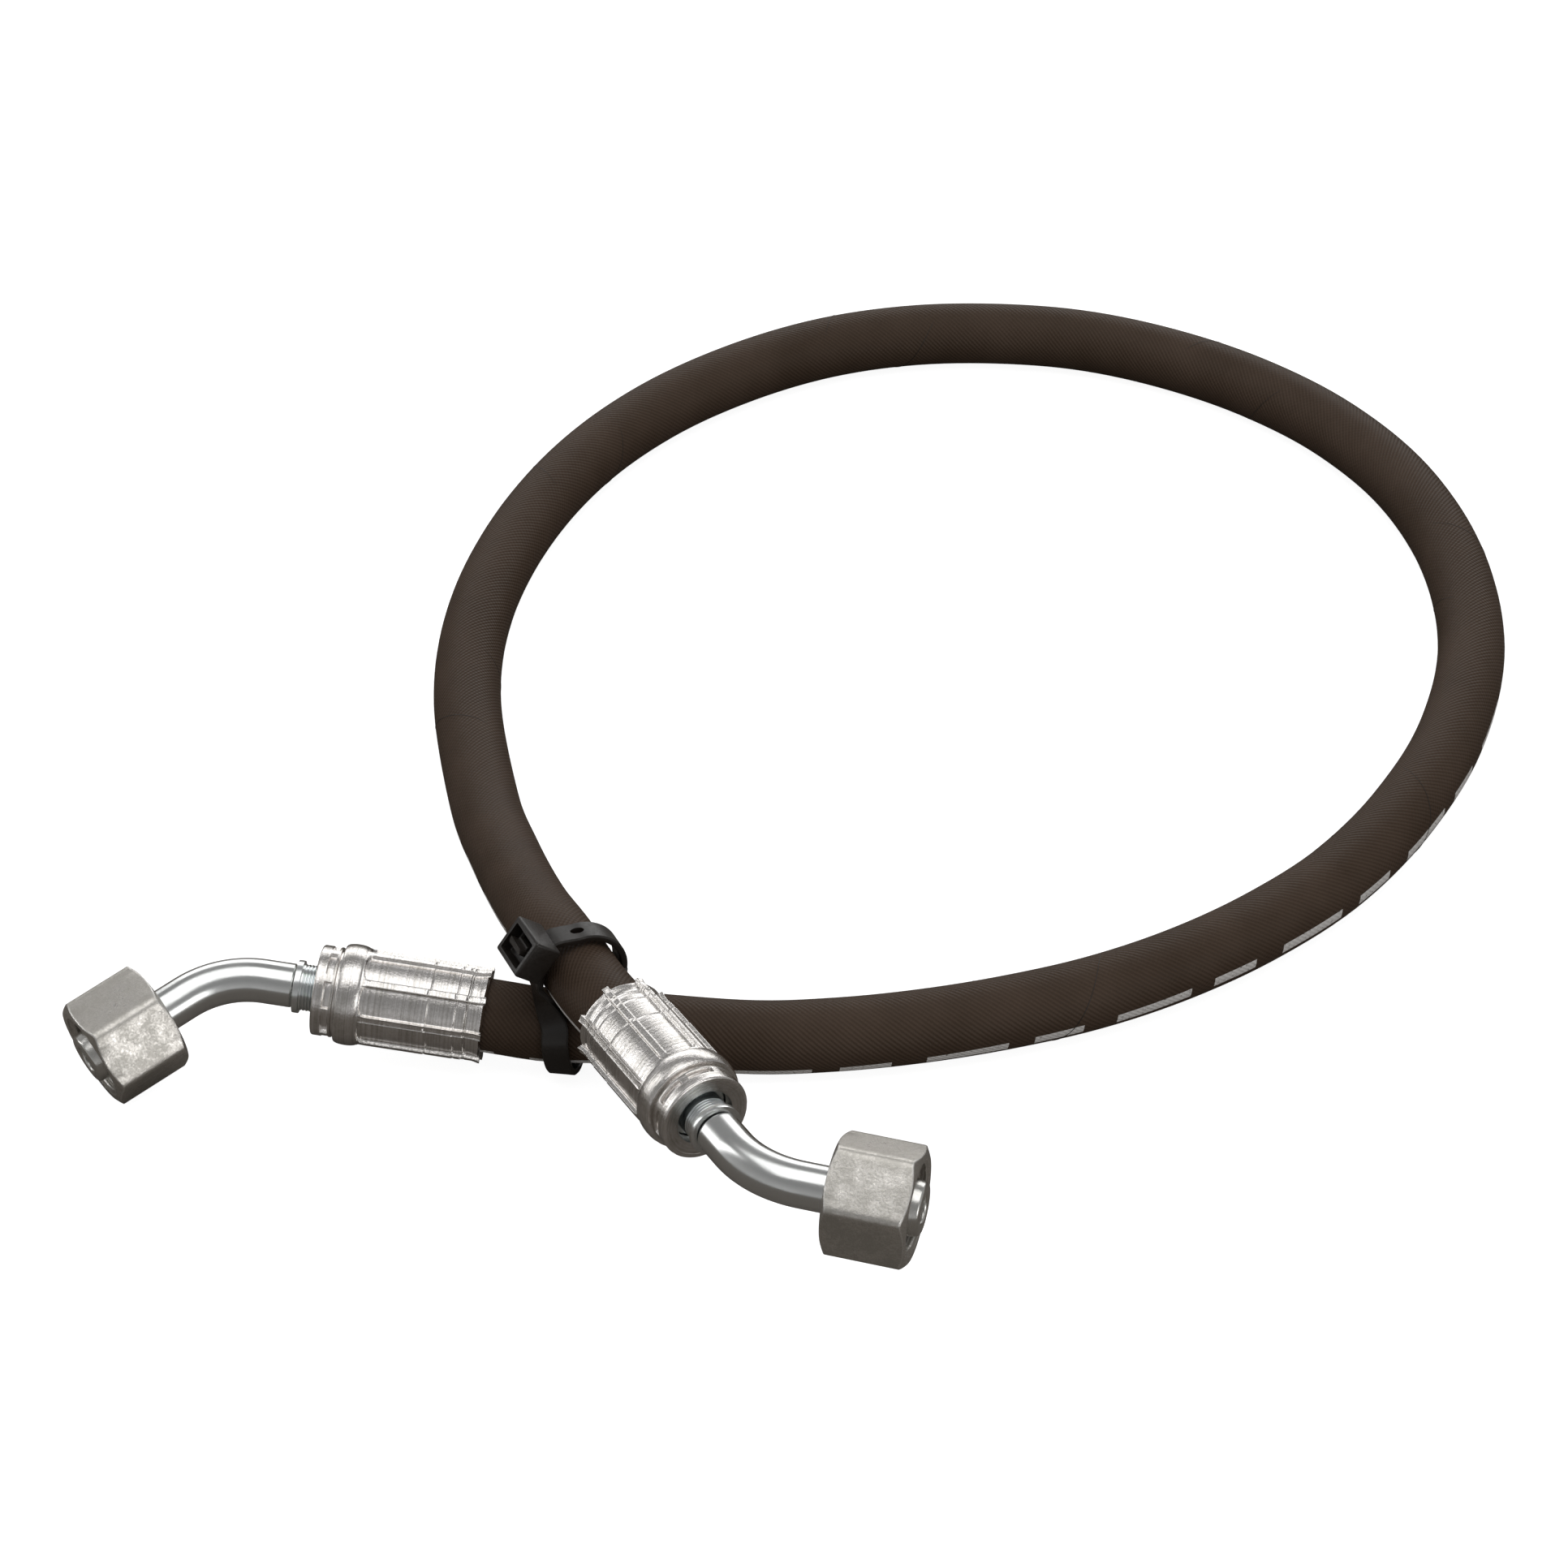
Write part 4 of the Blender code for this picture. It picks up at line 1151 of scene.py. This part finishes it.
def tie_path(upper, lower):
    """Centre points of the strap, each with the direction that its width lies along."""
    reach = HOSE_RADIUS + GAP + TIE_SLACK + TIE_THICKNESS / 2

    def arc(place, degrees):
        centre, way, side, up = place
        turns = [math.radians(d) for d in degrees]
        return [(centre + (side * math.cos(t) + up * math.sin(t)) * reach, way) for t in turns]

    centre, way, side, up = upper
    turn = math.radians(TIE_HEAD_TURN)
    out = side * math.cos(turn) + up * math.sin(turn)
    along_strap = side * math.sin(turn) - up * math.cos(turn)
    foot = reach + TIE_THICKNESS / 2 + GAP
    top = foot + TIE_HEAD_HEIGHT
    wall = TIE_HEAD_LENGTH / 4 + TIE_THICKNESS / 2
    ramp = [(wall - 0.6 * MM, foot + TIE_THICKNESS * 0.75), (wall + 1.4 * MM, foot - GAP)]
    path = [(centre + along_strap * s + out * h, way) for s, h in ramp]
    path += arc(upper, (92, 78, 62, 44, 26, 8, -10, -28))
    under = arc(lower, (30, 15, 0, -20, -40, -60, -80, -100, -120, -140, -160, -180, -200, -224))
    lean = TIE_LEAN / len(under)
    path += [(point + way * (TIE_LEAN - lean * i), way) for i, (point, way) in enumerate(under)]
    path += arc(upper, (191, 175, 160, 149))
    path += [(centre + out * h, way) for h in (foot + 0.8 * MM, top + TIE_STUB)]
    return path, (centre + out * (top - TIE_HEAD_HEIGHT / 2), way, along_strap, out)


def add_strap(path):
    points = np.array([p for p, _ in path])
    widths = np.array([w for _, w in path])
    dense = np.array(smooth_route([Vector(p) for p in points], 5))
    where = np.linspace(0, len(points) - 1, len(dense))
    wide = np.stack([np.interp(where, np.arange(len(points)), widths[:, i])
                     for i in range(3)], axis=1)
    strap_ways = unit(np.gradient(dense, axis=0))
    across = unit(wide - strap_ways * np.sum(wide * strap_ways, axis=1, keepdims=True))
    thick = unit(np.cross(strap_ways, across))
    w, t, c = TIE_WIDTH / 2, TIE_THICKNESS / 2, STRAP_CORNER
    section = [(w, t - c), (w - c * 0.3, t - c * 0.3), (w - c, t), (w * 0.3, t), (-w * 0.3, t),
               (-w + c, t), (-w + c * 0.3, t - c * 0.3), (-w, t - c), (-w, -t + c), (-w + c, -t),
               (w - c, -t), (w, -t + c)]
    rings = np.stack([dense + across * a + thick * b for a, b in section], axis=1)
    rings[..., 2] = np.maximum(rings[..., 2], 0.0)
    ragged = np.sin(np.linspace(-2.25, 2.25, len(section)))[:, None] + 1
    rings[-1] -= strap_ways[-1] * ragged * CUT_RAGGED
    count, sides = len(dense), len(section)
    faces = grid_faces(count, sides, False)
    faces += [tuple(range(sides)), tuple(range((count - 1) * sides, count * sides))]
    return add_piece("nylon_tie", rings.reshape(-1, 3), faces, NYLON)


def add_block(name, centre, axes, sizes, bevel=0.0, oval=False):
    """A box along three given axes, with its edges bevelled, or an oval plug."""
    bm = bmesh.new()
    if oval:
        bmesh.ops.create_cone(bm, cap_ends=True, segments=28, radius1=0.5, radius2=0.5, depth=1)
    else:
        bmesh.ops.create_cube(bm, size=1)
    bmesh.ops.scale(bm, vec=sizes, verts=bm.verts)
    if bevel:
        bmesh.ops.bevel(bm, geom=bm.edges[:], offset=bevel, segments=3, profile=0.5,
                        affect="EDGES")
    mesh = bpy.data.meshes.new(name)
    bm.to_mesh(mesh)
    bm.free()
    mesh.materials.append(NYLON)
    turn = Matrix([Vector(axis) for axis in axes]).transposed().to_4x4()
    mesh.transform(Matrix.Translation(Vector(centre)) @ turn)
    made = bpy.data.objects.new(name, mesh)
    bpy.context.scene.collection.objects.link(made)
    return made


def combine(target, other, operation):
    """Applies one Boolean to target and removes the other shape."""
    modifier = target.modifiers.new(operation.lower(), "BOOLEAN")
    modifier.operation = operation
    modifier.object = other
    modifier.solver = "EXACT"
    graph = bpy.context.evaluated_depsgraph_get()
    mesh = bpy.data.meshes.new_from_object(target.evaluated_get(graph))
    target.modifiers.clear()
    target.data = mesh
    bpy.data.objects.remove(other)


def add_tie():
    upper = hose_frame(TIE_UPPER_MM)
    path, (centre, way, along_strap, out) = tie_path(upper, hose_frame(TIE_LOWER_MM))
    axes = (way, along_strap, out)
    head = add_block("head", centre, axes, (TIE_HEAD_WIDTH, TIE_HEAD_LENGTH, TIE_HEAD_HEIGHT),
                     HEAD_BEVEL)
    window = add_block("window", centre, axes,
                       (TIE_WIDTH + 2 * GAP, TIE_THICKNESS + 2 * GAP + WINDOW_SPARE, THROUGH))
    combine(head, window, "DIFFERENCE")
    mouth = add_block("mouth", centre + out * (TIE_HEAD_HEIGHT / 2), axes,
                      (TIE_HEAD_WIDTH - 2 * HEAD_WALL, TIE_HEAD_LENGTH - 2 * HEAD_WALL,
                       2 * MOUTH_DEPTH), MOUTH_BEVEL)
    combine(head, mouth, "DIFFERENCE")
    pawl = add_block("pawl", centre + along_strap * PAWL_OFFSET, axes,
                     (TIE_WIDTH - 2 * PAWL_SIDE, PAWL_THICKNESS, TIE_HEAD_HEIGHT - 2 * PAWL_END),
                     0.15 * MM)
    tie = add_strap(path)
    spot, width_way, side, up = upper
    hole_out = side * math.cos(HOLE_TURN) + up * math.sin(HOLE_TURN)
    hole_axes = (width_way, np.cross(hole_out, width_way), hole_out)
    hole = add_block("hole", spot + hole_out * (HOSE_RADIUS + GAP + TIE_SLACK), hole_axes,
                     HOLE_SIZES, oval=True)
    combine(tie, hole, "DIFFERENCE")
    combine(tie, head, "UNION")
    combine(tie, pawl, "UNION")
    keep_own_place(tie.data)
    tie.data.shade_smooth()
    tie.data.set_sharp_from_angle(angle=math.radians(30))
    return tie


tie = add_tie()
stand_in(tie, "root", "cable_tie")
low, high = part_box("cable_tie")
points = np.array([tie.matrix_world @ v.co for v in tie.data.vertices])
print("tie box", np.round(points.min(0) / MM, 2), np.round(points.max(0) / MM, 2), "mm;",
      "in the frame", [round(v / MM, 2) for v in (*low, *high)])
print("tie has", len(tie.data.polygons), "faces")

# %% [markdown]
# ## Floor and light
#
# The floor is plain and nearly white, lit until the shadows almost vanish. The camera sees it
# brighter than the metal does, so that the undersides of the fittings keep their dark
# reflections. One large soft light hangs above. Smaller ones at the front right, on the left
# and at the back give the long highlights.

# %% Floor
FLOOR_SIZE = 6.0


def floor_finish():
    made = bpy.data.materials.new("floor")
    made.use_nodes = True
    made.node_tree.nodes.clear()
    nodes = Nodes(made.node_tree)
    seen = nodes.add("ShaderNodeBsdfDiffuse", {"Color": (0.5, 0.5, 0.5, 1)}).outputs[0]
    glow = nodes.add("ShaderNodeEmission", {"Color": (1, 1, 1, 1), "Strength": 0.90}).outputs[0]
    bright = nodes.add("ShaderNodeAddShader", {0: seen, 1: glow}).outputs[0]
    reflected = nodes.add("ShaderNodeBsdfDiffuse", {"Color": (0.17, 0.155, 0.14, 1)}).outputs[0]
    to_camera = nodes.add("ShaderNodeLightPath").outputs["Is Camera Ray"]
    both = nodes.add("ShaderNodeMixShader", {0: to_camera, 1: reflected, 2: bright}).outputs[0]
    nodes.add("ShaderNodeOutputMaterial", {"Surface": both})
    return made


bm = bmesh.new()
bmesh.ops.create_grid(bm, x_segments=1, y_segments=1, size=FLOOR_SIZE / 2)
floor_mesh = bpy.data.meshes.new("floor")
bm.to_mesh(floor_mesh)
bm.free()
floor_mesh.materials.append(floor_finish())
floor = bpy.data.objects.new("floor", floor_mesh)
bpy.context.scene.collection.objects.link(floor)
floor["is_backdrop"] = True

# %% Lights
LIGHTS = {
    "overhead": ((0.05, 0.05, 1.1), 1.3, 1.0, 5.2),
    "front right": ((0.85, -0.90, 0.36), 0.7, 0.6, 2.8),
    "left strip": ((-1.1, 0.3, 0.45), 0.25, 1.0, 1.6),
    "back": ((0.05, 1.3, 0.40), 1.6, 0.7, 5.0),
}
TARGET = Vector((0.05, 0.10, 0.0))

for name, (place, width, height, power) in LIGHTS.items():
    data = bpy.data.lights.new(name, "AREA")
    data.shape = "RECTANGLE"
    data.size = width
    data.size_y = height
    data.energy = power
    lamp = bpy.data.objects.new(name, data)
    lamp.location = place
    lamp.rotation_euler = (TARGET - Vector(place)).to_track_quat("-Z", "Y").to_euler()
    bpy.context.scene.collection.objects.link(lamp)

world = bpy.data.worlds.new("studio")
bpy.context.scene.world = world
world.use_nodes = True
world.node_tree.nodes.clear()
sky = Nodes(world.node_tree)
direction = sky.add("ShaderNodeTexCoord").outputs["Generated"]
height = sky.add("ShaderNodeSeparateXYZ", {0: direction}).outputs["Z"]
level = sky.remap(height, 0.0, 0.6, 0.45, 0.25)
backdrop = sky.add("ShaderNodeBackground", {"Color": (1, 1, 1, 1), "Strength": level})
sky.add("ShaderNodeOutputWorld", {"Surface": backdrop.outputs[0]})
bpy.context.scene.view_settings.view_transform = "Standard"
print("lights:", ", ".join(LIGHTS))

# %% [markdown]
# ## Outer sizes
#
# The outer sizes of the frame and of the finished model are printed.

model_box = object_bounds()
for label, corners in (("frame", cad_box), ("model", model_box)):
    print(label, [[round(v / MM, 2) for v in corner] for corner in corners])
